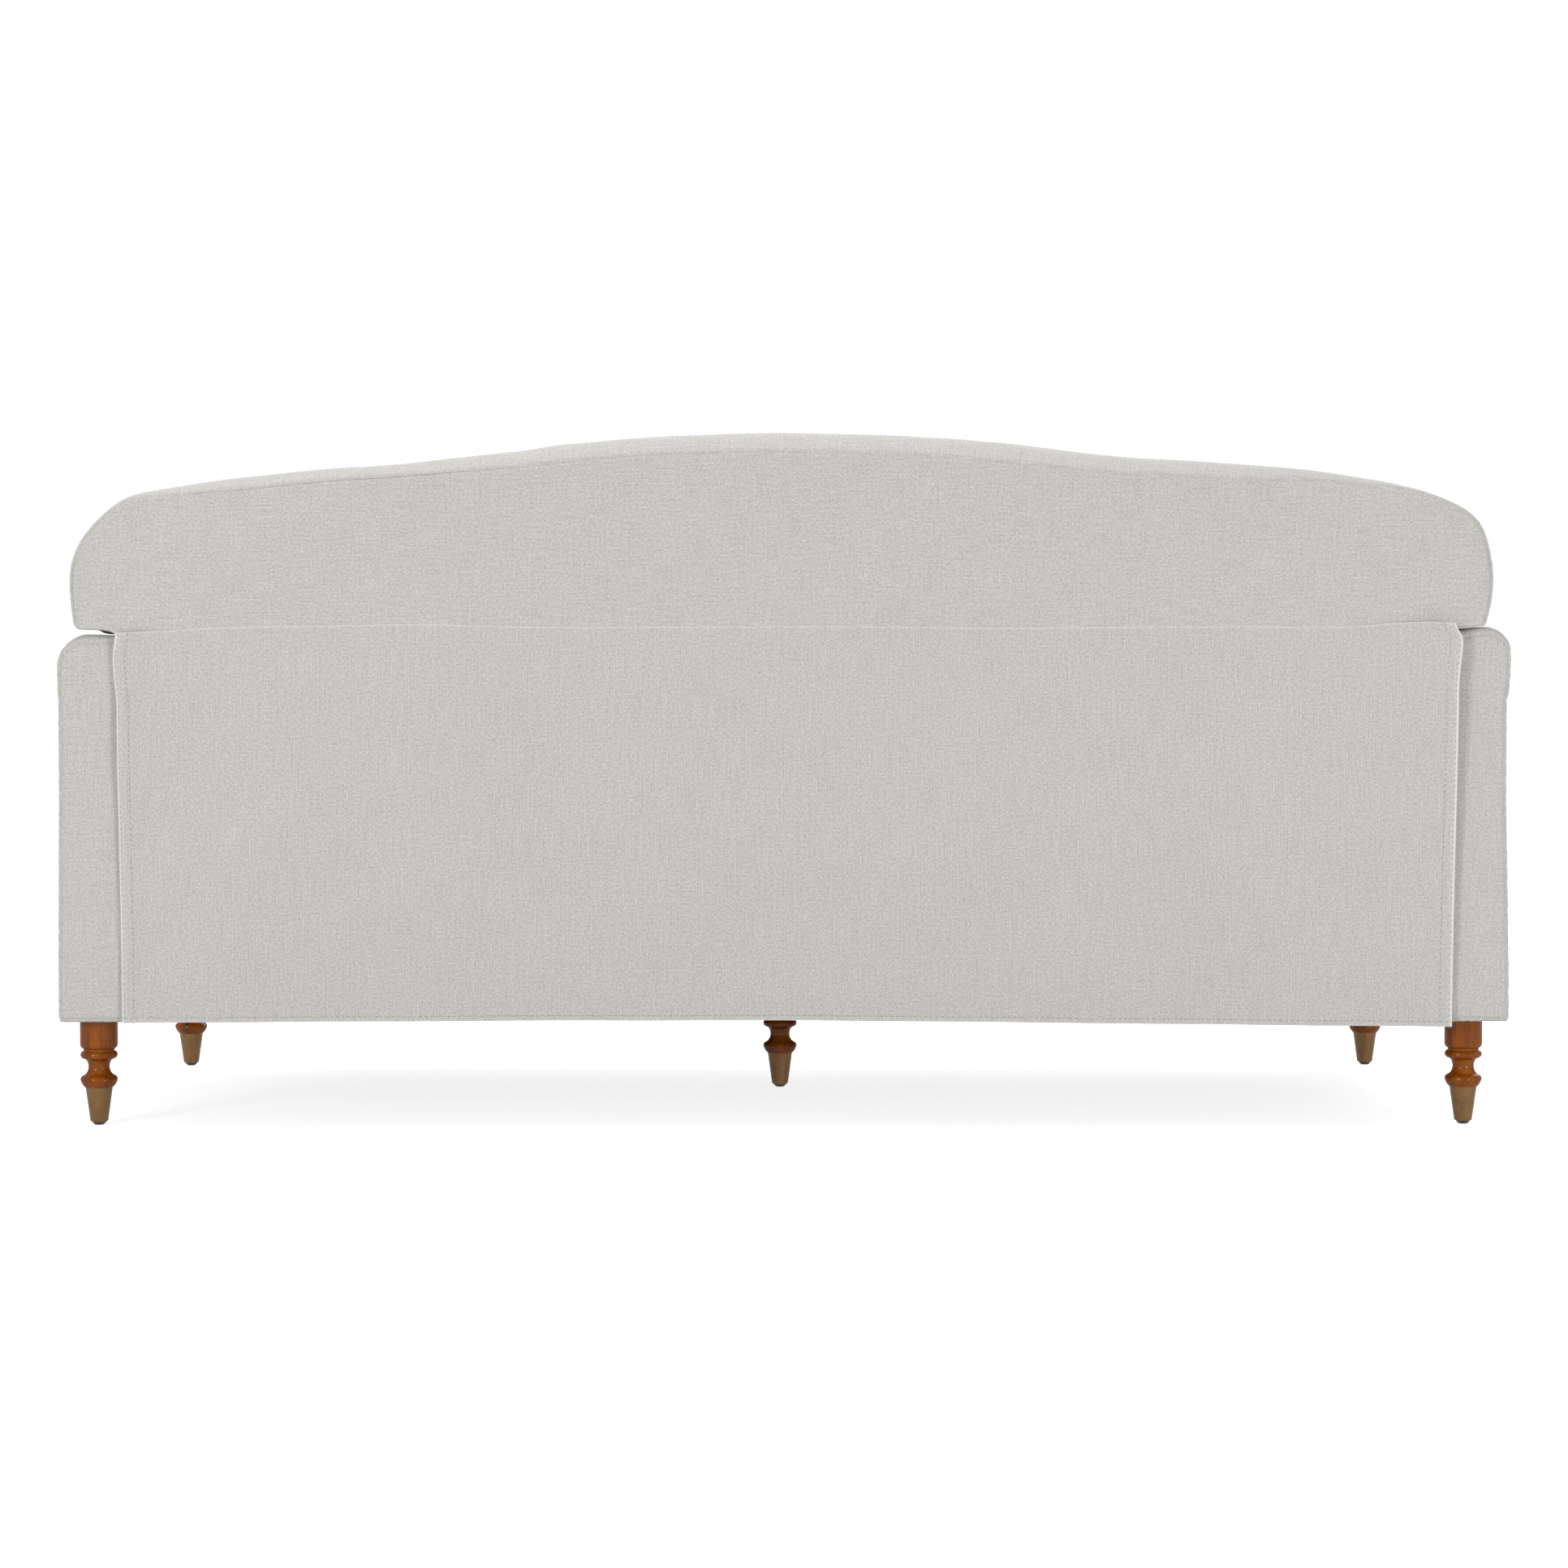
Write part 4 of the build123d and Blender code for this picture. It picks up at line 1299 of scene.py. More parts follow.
@dataclass
class BackLower:
    """The padded part of the back below the head, with plain lining on its rear."""

    corner: float = 0.014
    side_swell: float = 0.004
    head_gap: float = 0.0006
    spine_share: Point = (0.82, 1.0)
    front_rim: float = 0.014
    top_rim_less: float = 0.009
    lining_rim: float = 0.004
    front_crown: float = 0.009
    step: float = 0.007
    fill: float = 0.8

    BAND_ROWS = 12
    SEED = 21

    def build(self) -> bpy.types.Object:
        """Make the lower back's form.

        Returns:
            The finished piece.
        """
        head = BackHead()
        low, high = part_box("back_lower_padding")
        half = high.x + self.side_swell
        halves = box_halves((-half, low.z), (half, head.bottom - self.head_gap), self.corner)
        outline = Outline.from_halves(*halves, self.step, self.spine_share)
        rim_size = self.front_rim - self.top_rim_less * clamped(outline.normals[:, 1]) ** 2
        lining_rim = even_rim(outline, self.lining_rim, self.lining_rim)
        form = PaddedForm(
            "back_lower", outline, flat_at(high.y - self.head_gap), head.front, lining_rim,
            Rim(rim_size, rim_size), 0.0, self.front_crown, self.BAND_ROWS, self.SEED, near_slot=1,
        )
        piece = form.build([BACK_LINEN.material(), DECK_CLOTH.material()])
        return settle(piece, "backrest", ["back_lower_padding"])


@dataclass(frozen=True)
class ArmShape:
    """How the cloth over one arm has settled: its roll, and how far it stands up and out."""

    roll_radius: float
    swell: float
    stand_up: float
    stand_out: float
    flare: float
    sink: float


ARMS = {
    Side.LEFT: ArmShape(
        roll_radius=0.030, swell=0.005, stand_up=0.0050, stand_out=0.0045, flare=0.0045, sink=0.0
    ),
    Side.RIGHT: ArmShape(
        roll_radius=0.040, swell=0.0015, stand_up=0.0020, stand_out=0.0012, flare=0.0016, sink=0.0062
    ),
}


@dataclass
class Arm:
    """One low arm with a padded roll along its outer top edge, and sewn end panels."""

    side: Side
    inner_radius: float = 0.040
    crease: float = 0.545
    foot: float = 0.004
    foot_drop: float = 0.007
    panel_inset: float = 0.005
    stand_from: float = 0.848
    stand_over: float = 0.037
    flare_below: float = 0.42
    flare_over: float = 0.22
    spine_share: Point = (0.0, 0.84)
    rim_inset: float = 0.0035
    top_inset: float = 0.0065
    rim_depth: float = 0.008
    top_depth: float = 0.006
    rear_crown: float = 0.0015
    front_crown: float = 0.002
    ripple: float = 0.0007
    seam: Seam = Seam(groove=0.0018, width=0.0015)
    step: float = 0.0055
    fill: float = 0.9

    ROLL_STEPS = 40
    FALL_STEPS = 24
    FOOT_STEPS = 8
    BAND_ROWS = 64
    SEED = 31

    def __post_init__(self) -> None:
        """Read the arm's box."""
        self.low, self.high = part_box(f"{self.side.word}_arm_cover")
        self.shape = ARMS[self.side]
        self.inner = min(abs(self.low.x), abs(self.high.x))
        self.panel = max(abs(self.low.x), abs(self.high.x)) - self.panel_inset + self.shape.stand_out
        self.outer = self.panel + self.shape.swell

    def halves(self) -> list[Array]:
        """Draw the arm's section.

        Returns:
            The outer half and the inner half, from the top middle to the bottom middle.
        """
        shape, foot, radius = self.shape, self.foot, self.inner_radius
        top, bottom = self.high.z - shape.sink, self.low.z - self.foot_drop
        middle = (self.inner + self.panel) / 2
        roll = top - shape.roll_radius
        outer = [(middle, top)]
        outer += arc((self.outer - shape.roll_radius, roll), shape.roll_radius, 90, 0, self.ROLL_STEPS)
        fall = roll - self.crease
        for angle in np.linspace(0.0, math.pi / 2, self.FALL_STEPS + 1)[1:]:
            outer.append((self.panel + shape.swell * math.cos(angle), roll - fall * math.sin(angle)))
        outer += arc((self.panel - foot, bottom + foot), foot, 0, -90, self.FOOT_STEPS)
        inner = [(middle, top)] + arc((self.inner + radius, top - radius), radius, 90, 180)
        inner += arc((self.inner + foot, bottom + foot), foot, 180, 270, self.FOOT_STEPS)
        halves = []
        for half in (outer, inner):
            line = resample(half + [(middle, bottom)], OUTLINE_STEPS)
            up = clamped((line[:, 1] - self.crease) / (top - self.crease))
            out = clamped((line[:, 0] - self.inner) / (middle - self.inner))
            line[:, 1] += shape.stand_up * up * clamped((line[:, 0] - self.stand_from) / self.stand_over)
            line[:, 0] += shape.flare * out * clamped((self.flare_below - line[:, 1]) / self.flare_over)
            line[:, 0] *= self.side.value
            halves.append(line)
        return halves

    def build(self) -> bpy.types.Object:
        """Make the arm's cloth-covered form.

        Returns:
            The finished piece.
        """
        outline = Outline.from_halves(*self.halves(), self.step, self.spine_share)
        up = smooth(clamped(outline.normals[:, 1]))
        rim = Rim(self.rim_inset + self.top_inset * up, self.rim_depth + self.top_depth * up)
        form = PaddedForm(
            f"{self.side.word}_arm", outline, flat_at(self.high.y), flat_at(self.low.y), rim, rim,
            self.rear_crown, self.front_crown, self.BAND_ROWS, self.SEED + self.side.value,
            ripple=self.ripple, seam=self.seam,
        )
        nodes = [f"{self.side.word}_arm_cover", f"{self.side.word}_arm_padding"]
        return settle(form.build([ARM_LINEN.material()]), "base", nodes)


@dataclass
class SeatCushion:
    """One loose boxed seat cushion, swelled by a short cloth simulation."""

    side: Side
    boxing: float = 0.122
    corner: float = 0.038
    bow: float = 0.006
    spine_share: Point = (0.62, 1.0)
    rim_inset: float = 0.007
    rim_depth: float = 0.011
    crown_room: float = 0.004
    ripple: float = 0.0016
    seam: Seam = Seam(groove=0.0018, width=0.002, swell=0.0012, pucker=0.0008, reach=0.03)
    step: float = 0.009
    frames: int = 20
    cap: float = 0.008
    resting: float = 0.004
    low_room: Place = (0.0005, 0.0, 0.0)
    high_room: Place = (0.0005, 0.001, 0.006)
    fill: float = 0.75

    BAND_ROWS = 12
    SEED = 51
    FILLING = {
        "quality": 5,
        "mass": 0.3,
        "tension_stiffness": 12.0,
        "compression_stiffness": 12.0,
        "shear_stiffness": 5.0,
        "bending_stiffness": 0.6,
        "use_pressure": True,
        "uniform_pressure_force": 4.0,
    }

    def build(self) -> bpy.types.Object:
        """Make the cushion and let it swell.

        Returns:
            The finished piece.
        """
        name = f"{self.side.word}_seat_cushion"
        low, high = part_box(f"{name}_cover")
        seam_level = low.z + self.boxing
        halves = box_halves((low.x, low.y), (high.x, high.y), self.corner, self.bow)
        outline = Outline.from_halves(*halves, self.step, self.spine_share)
        rim = even_rim(outline, self.rim_inset, self.rim_depth)
        crown = high.z - seam_level - self.crown_room
        form = PaddedForm(
            f"{name}_soft", outline, flat_at(seam_level), flat_at(low.z), rim, rim, crown, 0.0,
            self.BAND_ROWS, self.SEED + self.side.value, axes=(0, 1, 2), seam=self.seam, ripple=self.ripple,
        )
        piece = form.build([SEAT_LINEN.material()])
        self.swell(piece, low, high)
        return settle(piece, name, [f"{name}_core", f"{name}_cover"])

    def swell(self, piece: bpy.types.Object, low: Vector, high: Vector) -> None:
        """Fill the cushion like a pillow, within the room that it has.

        Args:
            piece: The cushion.
            low: Lowest corner of its room.
            high: Highest corner of its room.
        """
        mesh = piece.data
        rest = np.zeros(len(mesh.vertices) * 3)
        mesh.vertices.foreach_get("co", rest)
        rest = rest.reshape(-1, 3)
        pins = piece.vertex_groups.new(name="resting")
        flat = np.nonzero(rest[:, 2] < low.z + self.resting)[0]
        pins.add(flat.tolist(), 1.0, "REPLACE")
        cloth = piece.modifiers.new("swell", "CLOTH")
        for word, value in self.FILLING.items():
            setattr(cloth.settings, word, value)
        cloth.settings.vertex_group_mass = pins.name
        cloth.settings.effector_weights.gravity = 0.0
        cloth.collision_settings.use_collision = False
        cloth.point_cache.frame_end = self.frames
        scene = bpy.context.scene
        for step in range(1, self.frames + 1):
            scene.frame_set(step)
        shape = piece.evaluated_get(bpy.context.evaluated_depsgraph_get()).data
        moved = np.zeros(len(rest) * 3)
        shape.vertices.foreach_get("co", moved)
        shift = moved.reshape(-1, 3) - rest
        size = np.maximum(np.linalg.norm(shift, axis=1), TINY)
        shift *= np.minimum(1.0, self.cap / size)[:, None]
        swelled = rest + shift
        swelled = np.maximum(swelled, np.array(low) - self.low_room)
        swelled = np.minimum(swelled, np.array(high) + self.high_room)
        piece.modifiers.remove(cloth)
        piece.vertex_groups.remove(pins)
        scene.frame_set(1)
        mesh.vertices.foreach_set("co", swelled.ravel())
        mesh.update()


@dataclass
class SeatBase:
    """The cloth of the base: deck, front border, webbing and dust cloth."""

    strap_pitch: float = 0.150
    strap_width: float = 0.060
    strap_count: int = 10
    deck_corner: float = 0.004
    deck_sink: float = 0.001
    deck_step: float = 0.012
    deck_panel_step: float = 0.02
    deck_spine: Point = (0.7, 1.0)
    deck_ripple: float = 0.0004
    deck_fill: float = 0.3
    border_corner: float = 0.003
    border_depth: float = 0.0025
    border_crown: float = 0.002
    border_step: float = 0.008
    border_spine: Point = (0.9, 1.0)
    border_ripple: float = 0.0006
    border_fill: float = 0.4
    dust_columns: int = 60
    dust_rows: int = 64
    dust_belly: float = 0.0016
    dust_ripple: float = 0.0005
    dust_edge: float = 4.0
    dust_thickness: float = 0.0008

    DECK_ROWS = 3
    DECK_SEED = 61
    BORDER_ROWS = 2
    BORDER_SEED = 71
    DUST_SEED = 81
    DUST_WAVES = 20
    SHORT_WAVE = 0.08
    LONG_WAVE = 0.3

    def deck(self) -> bpy.types.Object:
        """Make the deck under the cushions.

        Returns:
            The finished piece.
        """
        low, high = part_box("seat_deck")
        halves = box_halves((low.x, low.y), (high.x, high.y), self.deck_corner)
        outline = Outline.from_halves(*halves, self.deck_step, self.deck_spine)
        rim = even_rim(outline, self.deck_corner, self.deck_corner)
        form = PaddedForm(
            "seat_deck_soft", outline, flat_at(high.z - self.deck_sink), flat_at(low.z), rim, rim, 0.0, 0.0,
            self.DECK_ROWS, self.DECK_SEED, axes=(0, 1, 2), ripple=self.deck_ripple,
            panel_step=self.deck_panel_step,
        )
        piece = form.build([DECK_CLOTH.material()])
        return settle(piece, "base", ["seat_deck"])

    def border(self) -> bpy.types.Object:
        """Make the upholstered border below the cushions.

        Returns:
            The finished piece.
        """
        low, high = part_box("front_border")
        halves = box_halves((low.x, low.z), (high.x, high.z), self.border_corner)
        outline = Outline.from_halves(*halves, self.border_step, self.border_spine)
        rim = even_rim(outline, self.border_corner, self.border_depth)
        form = PaddedForm(
            "front_border_soft", outline, flat_at(high.y), flat_at(low.y), rim, rim, 0.0, self.border_crown,
            self.BORDER_ROWS, self.BORDER_SEED, ripple=self.border_ripple,
        )
        piece = form.build([SEAT_LINEN.material()])
        return settle(piece, "base", ["front_border"])

    def webbing(self) -> bpy.types.Object:
        """Make the straps under the deck.

        Returns:
            The finished piece.
        """
        low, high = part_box("seat_webbing")
        level = (low.z + high.z) / 2
        straps = []
        for number in range(self.strap_count):
            x = (number - (self.strap_count - 1) / 2) * self.strap_pitch
            ends = ((x, low.y, level), (x, high.y, level))
            straps.append(Strap(*ends, Axis.X, Axis.Z, self.strap_width, high.z - low.z))
        piece = strap_object("seat_straps", straps, WEBBING)
        return settle(piece, "base", ["seat_webbing"])

    def dust_cloth(self, side: Side) -> bpy.types.Object:
        """Make one half of the dust cloth under the base.

        Args:
            side: The half to make.

        Returns:
            The sheet.
        """
        low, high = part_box("dust_cloth")
        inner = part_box("base_centre_rail")[1].x
        wide = np.linspace(inner, high.x, self.dust_columns)
        deep = np.linspace(low.y, high.y, self.dust_rows)
        x, y = np.meshgrid(wide, deep)
        across = (x - inner) / (high.x - inner)
        along = (y - low.y) / (high.y - low.y)
        belly = np.sin(math.pi * across) * np.sin(math.pi * along)
        waves = Waves(self.DUST_SEED + side.value, self.DUST_WAVES, self.SHORT_WAVE, self.LONG_WAVE)
        lift = waves.at(np.stack([x, y, 0 * x], axis=-1)) * np.minimum(1.0, self.dust_edge * belly)
        sag = -self.dust_belly * belly + self.dust_ripple * lift
        under = np.stack([side.value * x, y, low.z + sag], axis=-1)
        over = under + np.array((0.0, 0.0, self.dust_thickness))
        piece = slab(f"dust_cloth_{side.word}", under, over, DUST_CLOTH.material(), np.stack([x, y], axis=-1))
        settle(piece, "base", ["dust_cloth"])
        return piece

    def build(self) -> None:
        """Make all the cloth of the base."""
        self.deck()
        self.border()
        self.webbing()
        for side in Side:
            self.dust_cloth(side)


@dataclass
class Strap:
    """A flat strap between two points."""

    start: Place
    end: Place
    across: Axis
    through: Axis
    width: float
    thickness: float

    ROWS = 60
    SELVEDGE = ((0.0012, 1.0), (0.004, 0.8))
    MIDDLE_THICKNESS = 0.72

    def grid(self) -> tuple[Array, Array]:
        """Lay out the strap.

        Returns:
            Rows of points round its section, and their cloth coordinates.
        """
        half, thick = self.width / 2, self.thickness / 2
        ribs = [(inset - half, share) for inset, share in self.SELVEDGE]
        ribs += [(0.0, self.MIDDLE_THICKNESS)] + [(-u, share) for u, share in ribs[::-1]]
        section = np.array([(-half, 0.0)] + ribs + [(half, 0.0)] + [(u, -share) for u, share in ribs[::-1]])
        run = np.linspace(0.0, 1.0, self.ROWS)
        whole = np.array(self.end) - np.array(self.start)
        middle = np.array(self.start) + np.outer(run, whole)
        points = np.repeat(middle[:, None, :], len(section), axis=1)
        points[:, :, self.across.value] += section[:, 0]
        points[:, :, self.through.value] += section[:, 1] * thick
        places = np.meshgrid(run * np.linalg.norm(whole), section[:, 0], indexing="ij")
        return points, np.stack(places, axis=-1)


def strap_object(name: str, straps: Sequence[Strap], finish: ClothFinish) -> bpy.types.Object:
    """Make one mesh of several straps.

    Args:
        name: The piece's name.
        straps: The straps.
        finish: Their cloth.

    Returns:
        The new object.
    """
    points, faces, cloth = [], [], []
    first = 0
    for strap in straps:
        grid, sewn = strap.grid()
        rows, columns = grid.shape[:2]
        place = np.arange(first, first + rows * columns).reshape(rows, columns)
        beside = np.roll(place, -1, axis=1)
        quads = np.stack([place[:-1], beside[:-1], beside[1:], place[1:]], axis=-1)
        faces += quads.reshape(-1, 4).tolist()
        for ring in (place[0].tolist(), place[-1].tolist()):
            caps = [(ring[k], ring[k + 1], ring[-k - 1], ring[-k]) for k in range(columns // 2)]
            faces += [list(dict.fromkeys(cap)) for cap in caps]
        points.append(grid.reshape(-1, 3))
        cloth.append(sewn.reshape(-1, 2))
        first += rows * columns
    corners = np.array([corner for face in faces for corner in face])
    places = np.concatenate(cloth)[corners]
    return closed_mesh(name, np.concatenate(points), faces, places, [finish.material()], rounded=False)


@dataclass
class BackFrame:
    """The straps across the open rear of the back, and the tapes that hold the flap."""

    first_strap: float = 0.366
    strap_pitch: float = 0.070
    strap_width: float = 0.060
    strap_count: int = 4
    tape_width: float = 0.016
    tape_shift: float = -0.008
    tape_proud: float = 0.0010

    def straps(self) -> bpy.types.Object:
        """Make the straps.

        Returns:
            The finished piece.
        """
        low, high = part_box("back_webbing")
        depth = (low.y + high.y) / 2
        straps = []
        for number in range(self.strap_count):
            z = self.first_strap + number * self.strap_pitch
            ends = ((low.x, depth, z), (high.x, depth, z))
            straps.append(Strap(*ends, Axis.Z, Axis.Y, self.strap_width, high.y - low.y))
        piece = strap_object("back_straps", straps, WEBBING)
        return settle(piece, "backrest", ["back_webbing"])

    def hook_tapes(self) -> bpy.types.Object:
        """Make the pair of hook tapes on the arms.

        Returns:
            The finished pair.
        """
        low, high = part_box("arm_hook_tapes")
        depth = (low.y + high.y) / 2 + self.tape_proud
        strips = []
        for middle in (low.x + self.tape_width / 2, high.x - self.tape_width / 2):
            x = middle + self.tape_shift
            ends = ((x, depth, low.z), (x, depth, high.z))
            strips.append(Strap(*ends, Axis.X, Axis.Y, self.tape_width, high.y - low.y))
        piece = strap_object("arm_hook_tapes_cloth", strips, TAPE)
        return settle(piece, "base", ["arm_hook_tapes"])

    def build(self) -> None:
        """Make the straps and the tapes."""
        self.straps()
        self.hook_tapes()


@dataclass(frozen=True)
class Curl:
    """How a side edge of the flap stands off: how far, over what width, and how it eases towards the foot."""

    lift: float
    reach: float
    full: float
    fall: float
    least: float = 0.3

    def at(self, edge: Array, share: Array) -> Array:
        """How far the cloth stands off, by its distance from the edge and its share of the drop."""
        return self.lift * bell(edge, self.reach) * np.clip(self.full - self.fall * share, self.least, 1.0)


@dataclass
class FlapGrid:
    """The flap's points: their places, their way down and across, and their distances from its edges."""

    x: Array
    z: Array
    drop: Array
    share: Array
    middle: Array
    from_left: Array
    from_right: Array
    from_foot: Array


@dataclass
class BackFlap:
    """The hemmed cloth that hangs over the open rear, held by tapes at its sides."""

    cloth: float = 0.0013
    hem_cloth: float = 0.0011
    side_hem: float = 0.0175
    foot_hem: float = 0.0095
    hem_step: float = 0.0012
    side_rows: Point = (0.0035, 0.0155)
    foot_row: float = 0.0062
    plane_gap: float = 0.0022
    step: float = 0.0075
    foot_sink: float = 0.0003
    foot_sway: float = 0.0012
    sway_pace: float = 4.2
    sway_start: float = 1.0
    left_drop: float = 0.0065
    left_drop_power: float = 1.6
    folds: int = 6
    fold_depth: float = 0.0040
    fold_growth: float = 1.25
    fold_drift: float = 0.5
    drift_pace: float = 5.0
    fold_inset: float = 0.03
    fold_start: float = 0.12
    ripple: float = 0.0012
    ripple_start: float = 0.05
    left_curl: Curl = Curl(0.0140, 0.050, 1.05, 0.75)
    right_curl: Curl = Curl(0.0085, 0.030, 1.1, 0.4)
    turn_in: float = 0.0048
    turn_in_width: float = 0.0036
    turn_in_start: float = 0.03
    tuck: float = 0.0007
    tuck_reach: float = 0.03
    tuck_held: float = 0.7
    tuck_held_width: float = 0.006
    top_swell: float = 0.0005
    top_swell_width: float = 0.004
    side_rise: float = 0.00035
    foot_rise: float = 0.00030
    row_sink: float = 0.00045
    row_width: float = 0.0012
    pinch: float = 0.00030
    pinch_at: float = 0.009
    pinch_width: float = 0.007
    ruck: float = 0.00030
    ruck_reach: float = 0.012
    # Painted highlight along the flap's edges: its widths at the sides and at the ends, and its strength at
    # the top and at the foot.
    side_highlight: float = 0.0040
    end_highlight: float = 0.0016
    top_highlight: float = 0.6
    foot_highlight: float = 0.4
    bend_above: float = 0.004
    bend_below: float = 0.030
    tape_inset: float = 0.0015
    tape_end: float = 0.0166
    tape_top: float = 0.034
    tape_foot: float = 0.012
    tape_gap: float = 0.0002
    tape_cloth: float = 0.0013

    LEFT_EDGE = ((0.0, -0.848), (0.04, -0.8565), (0.16, -0.8515), (1.0, -0.8465))
    RIGHT_EDGE = ((0.0, 0.8385), (0.065, 0.8425), (0.20, 0.8375), (1.0, 0.8330))
    EDGE_STEPS = (
        0.0, 0.001, 0.002, 0.0028, 0.0035, 0.0042, 0.0052, 0.007, 0.0095, 0.0125, 0.0145, 0.0155,
        0.0165, 0.0178, 0.0195, 0.0225, 0.027, 0.033, 0.04,
    )
    FOOT_STEPS = (
        0.0, 0.001, 0.0022, 0.0035, 0.0048, 0.0062, 0.0076, 0.009, 0.0102, 0.012, 0.015, 0.02, 0.026
    )
    TOP_STEPS = (0.0, 0.0012, 0.0025, 0.0042, 0.0065, 0.010, 0.015, 0.021)
    SEAM_HALF = 0.85
    RIPPLES = Waves(91, 30, 0.10, 0.45)
    TOP_TUCKS = Puckers(92, 1.7, 0.014, 0.06)
    LEFT_PINCHES = Puckers(93, 0.5, 0.009, 0.03)
    RIGHT_PINCHES = Puckers(94, 0.5, 0.009, 0.03)
    FOOT_RUCKS = Puckers(95, 1.7, 0.010, 0.035)

    def __post_init__(self) -> None:
        """Read the flap's place."""
        low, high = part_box("back_flap")
        self.top, self.foot = high.z, low.z
        self.plane = low.y + self.plane_gap
        self.half = high.x

    def spacing(self, length: float, first: Sequence[float], last: Sequence[float]) -> Array:
        """Distances along a side, close together near its ends.

        Args:
            length: The side's length.
            first: Distances from its start.
            last: Distances from its end.

        Returns:
            All the distances, in order.
        """
        room = length - first[-1] - last[-1]
        count = int(round(room / self.step))
        middle = np.linspace(first[-1], length - last[-1], count + 1)[1:-1]
        return np.concatenate([first, middle, length - np.array(last[::-1])])

    def grid(self) -> FlapGrid:
        """Lay the cloth out flat between its seam, its side edges and its foot.

        Returns:
            The grid of points.
        """
        width, height = 2 * self.half, self.top - self.foot
        across = self.spacing(width, self.EDGE_STEPS, self.EDGE_STEPS)
        down = self.spacing(height, self.TOP_STEPS, self.FOOT_STEPS)
        reach, drop = np.meshgrid(across, down)
        share = drop / height
        left, right = eased(share, self.LEFT_EDGE), eased(share, self.RIGHT_EDGE)
        middle = clamped(reach / width)
        x = left + reach + (right - left - width) * (3 * middle**2 - 2 * middle**3)
        seam = self.top + eased(x, FLAP_SEAM)
        sway = self.foot_sway * np.sin(self.sway_pace * x + self.sway_start)
        hem = self.foot - self.foot_sink + sway
        hem -= self.left_drop * clamped(-x / self.half) ** self.left_drop_power
        z = seam + (hem - seam) * share
        return FlapGrid(x, z, drop, share, middle, reach, width - reach, height - drop)

    def hanging(self, grid: FlapGrid) -> Array:
        """Hang the cloth in soft folds, with its side edges standing off.

        Args:
            grid: The flap's grid.

        Returns:
            The depth of each point.
        """
        drift = self.fold_drift * np.sin(self.drift_pace * grid.share)
        wave = 0.5 - 0.5 * np.cos(math.tau * self.folds * grid.middle + drift)
        edge = np.minimum(grid.from_left, grid.from_right)
        inside = clamped((edge - self.fold_inset) / self.fold_start)
        y = self.plane + self.fold_depth * wave * grid.share**self.fold_growth * inside
        ripples = self.RIPPLES.at(np.stack([grid.x, 0 * grid.x, grid.z], axis=-1))
        y += self.ripple * ripples * np.minimum(1.0, grid.drop / self.ripple_start)
        y += self.left_curl.at(grid.from_left, grid.share)
        y += self.right_curl.at(grid.from_right, grid.share)
        turned_in = self.turn_in * bell(grid.from_right, self.turn_in_width)
        y -= turned_in * clamped(grid.drop / self.turn_in_start)
        return y

    def sewing(self, grid: FlapGrid) -> Array:
        """Tuck the cloth at its top seam, and turn up and sew its hems.

        Args:
            grid: The flap's grid.

        Returns:
            How far each point stands out.
        """
        held = 1.0 - self.tuck_held * bell(grid.drop, self.tuck_held_width)
        tucks = self.TOP_TUCKS.at(grid.x + self.SEAM_HALF)
        out = self.tuck * tucks * np.exp(-grid.drop / self.tuck_reach) * held
        out += self.top_swell * bell(grid.drop, self.top_swell_width)
        for edge, pinches in ((grid.from_left, self.LEFT_PINCHES), (grid.from_right, self.RIGHT_PINCHES)):
            out += self.side_rise * clamped((self.side_hem - edge) / self.hem_step)
            for row in self.side_rows:
                out -= self.row_sink * bell(edge - row, self.row_width)
            out += self.pinch * pinches.at(grid.drop) * bell(edge - self.pinch_at, self.pinch_width)
        out += self.foot_rise * clamped((self.foot_hem - grid.from_foot) / self.hem_step)
        out -= self.row_sink * bell(grid.from_foot - self.foot_row, self.row_width)
        rucks = self.FOOT_RUCKS.at(grid.x + self.SEAM_HALF)
        out += self.ruck * rucks * np.exp(-(grid.from_foot / self.ruck_reach))
        return out

    def build(self) -> bpy.types.Object:
        """Make the flap, its stitches and its tapes.

        Returns:
            The flap's sheet.
        """
        grid = self.grid()
        outer = np.stack([grid.x, self.hanging(grid) + self.sewing(grid), grid.z], axis=-1)
        edge = np.minimum(grid.from_left, grid.from_right)
        side = clamped((self.side_hem - edge) / self.hem_step)
        hem = np.maximum(side, clamped((self.foot_hem - grid.from_foot) / self.hem_step))
        inner = outer.copy()
        inner[..., 1] -= self.cloth + self.hem_cloth * hem
        # Painted highlight: a lighter rim along the side hems, the top and the foot, standing in for light
        # catching the edges.
        fold = bell(edge, self.side_highlight) + self.top_highlight * bell(grid.drop, self.end_highlight)
        fold = np.minimum(1.0, fold + self.foot_highlight * bell(grid.from_foot, self.end_highlight))
        cloth = np.stack([grid.x, grid.z], axis=-1)
        piece = slab("flap_cloth", outer, inner, FLAP_LINEN.material(), cloth, fold)
        settle(piece, "back_flap", ["back_flap"], bend=self.bend())
        stitches = self.stitches(outer, grid)
        self.tape(Side.LEFT, inner, grid.from_left, grid.drop)
        self.tape(Side.RIGHT, inner, grid.from_right, grid.drop)
        return piece

    def bend(self) -> tuple:
        """The bodies that the flap would bend between, and where the bend would start and end; only passed to
        settle, which bakes the flap in place.
        """
        above, below = self.top + self.bend_above, self.top - self.bend_below
        return ("backrest", "back_flap", (0.0, self.plane, above), (0.0, self.plane, below))

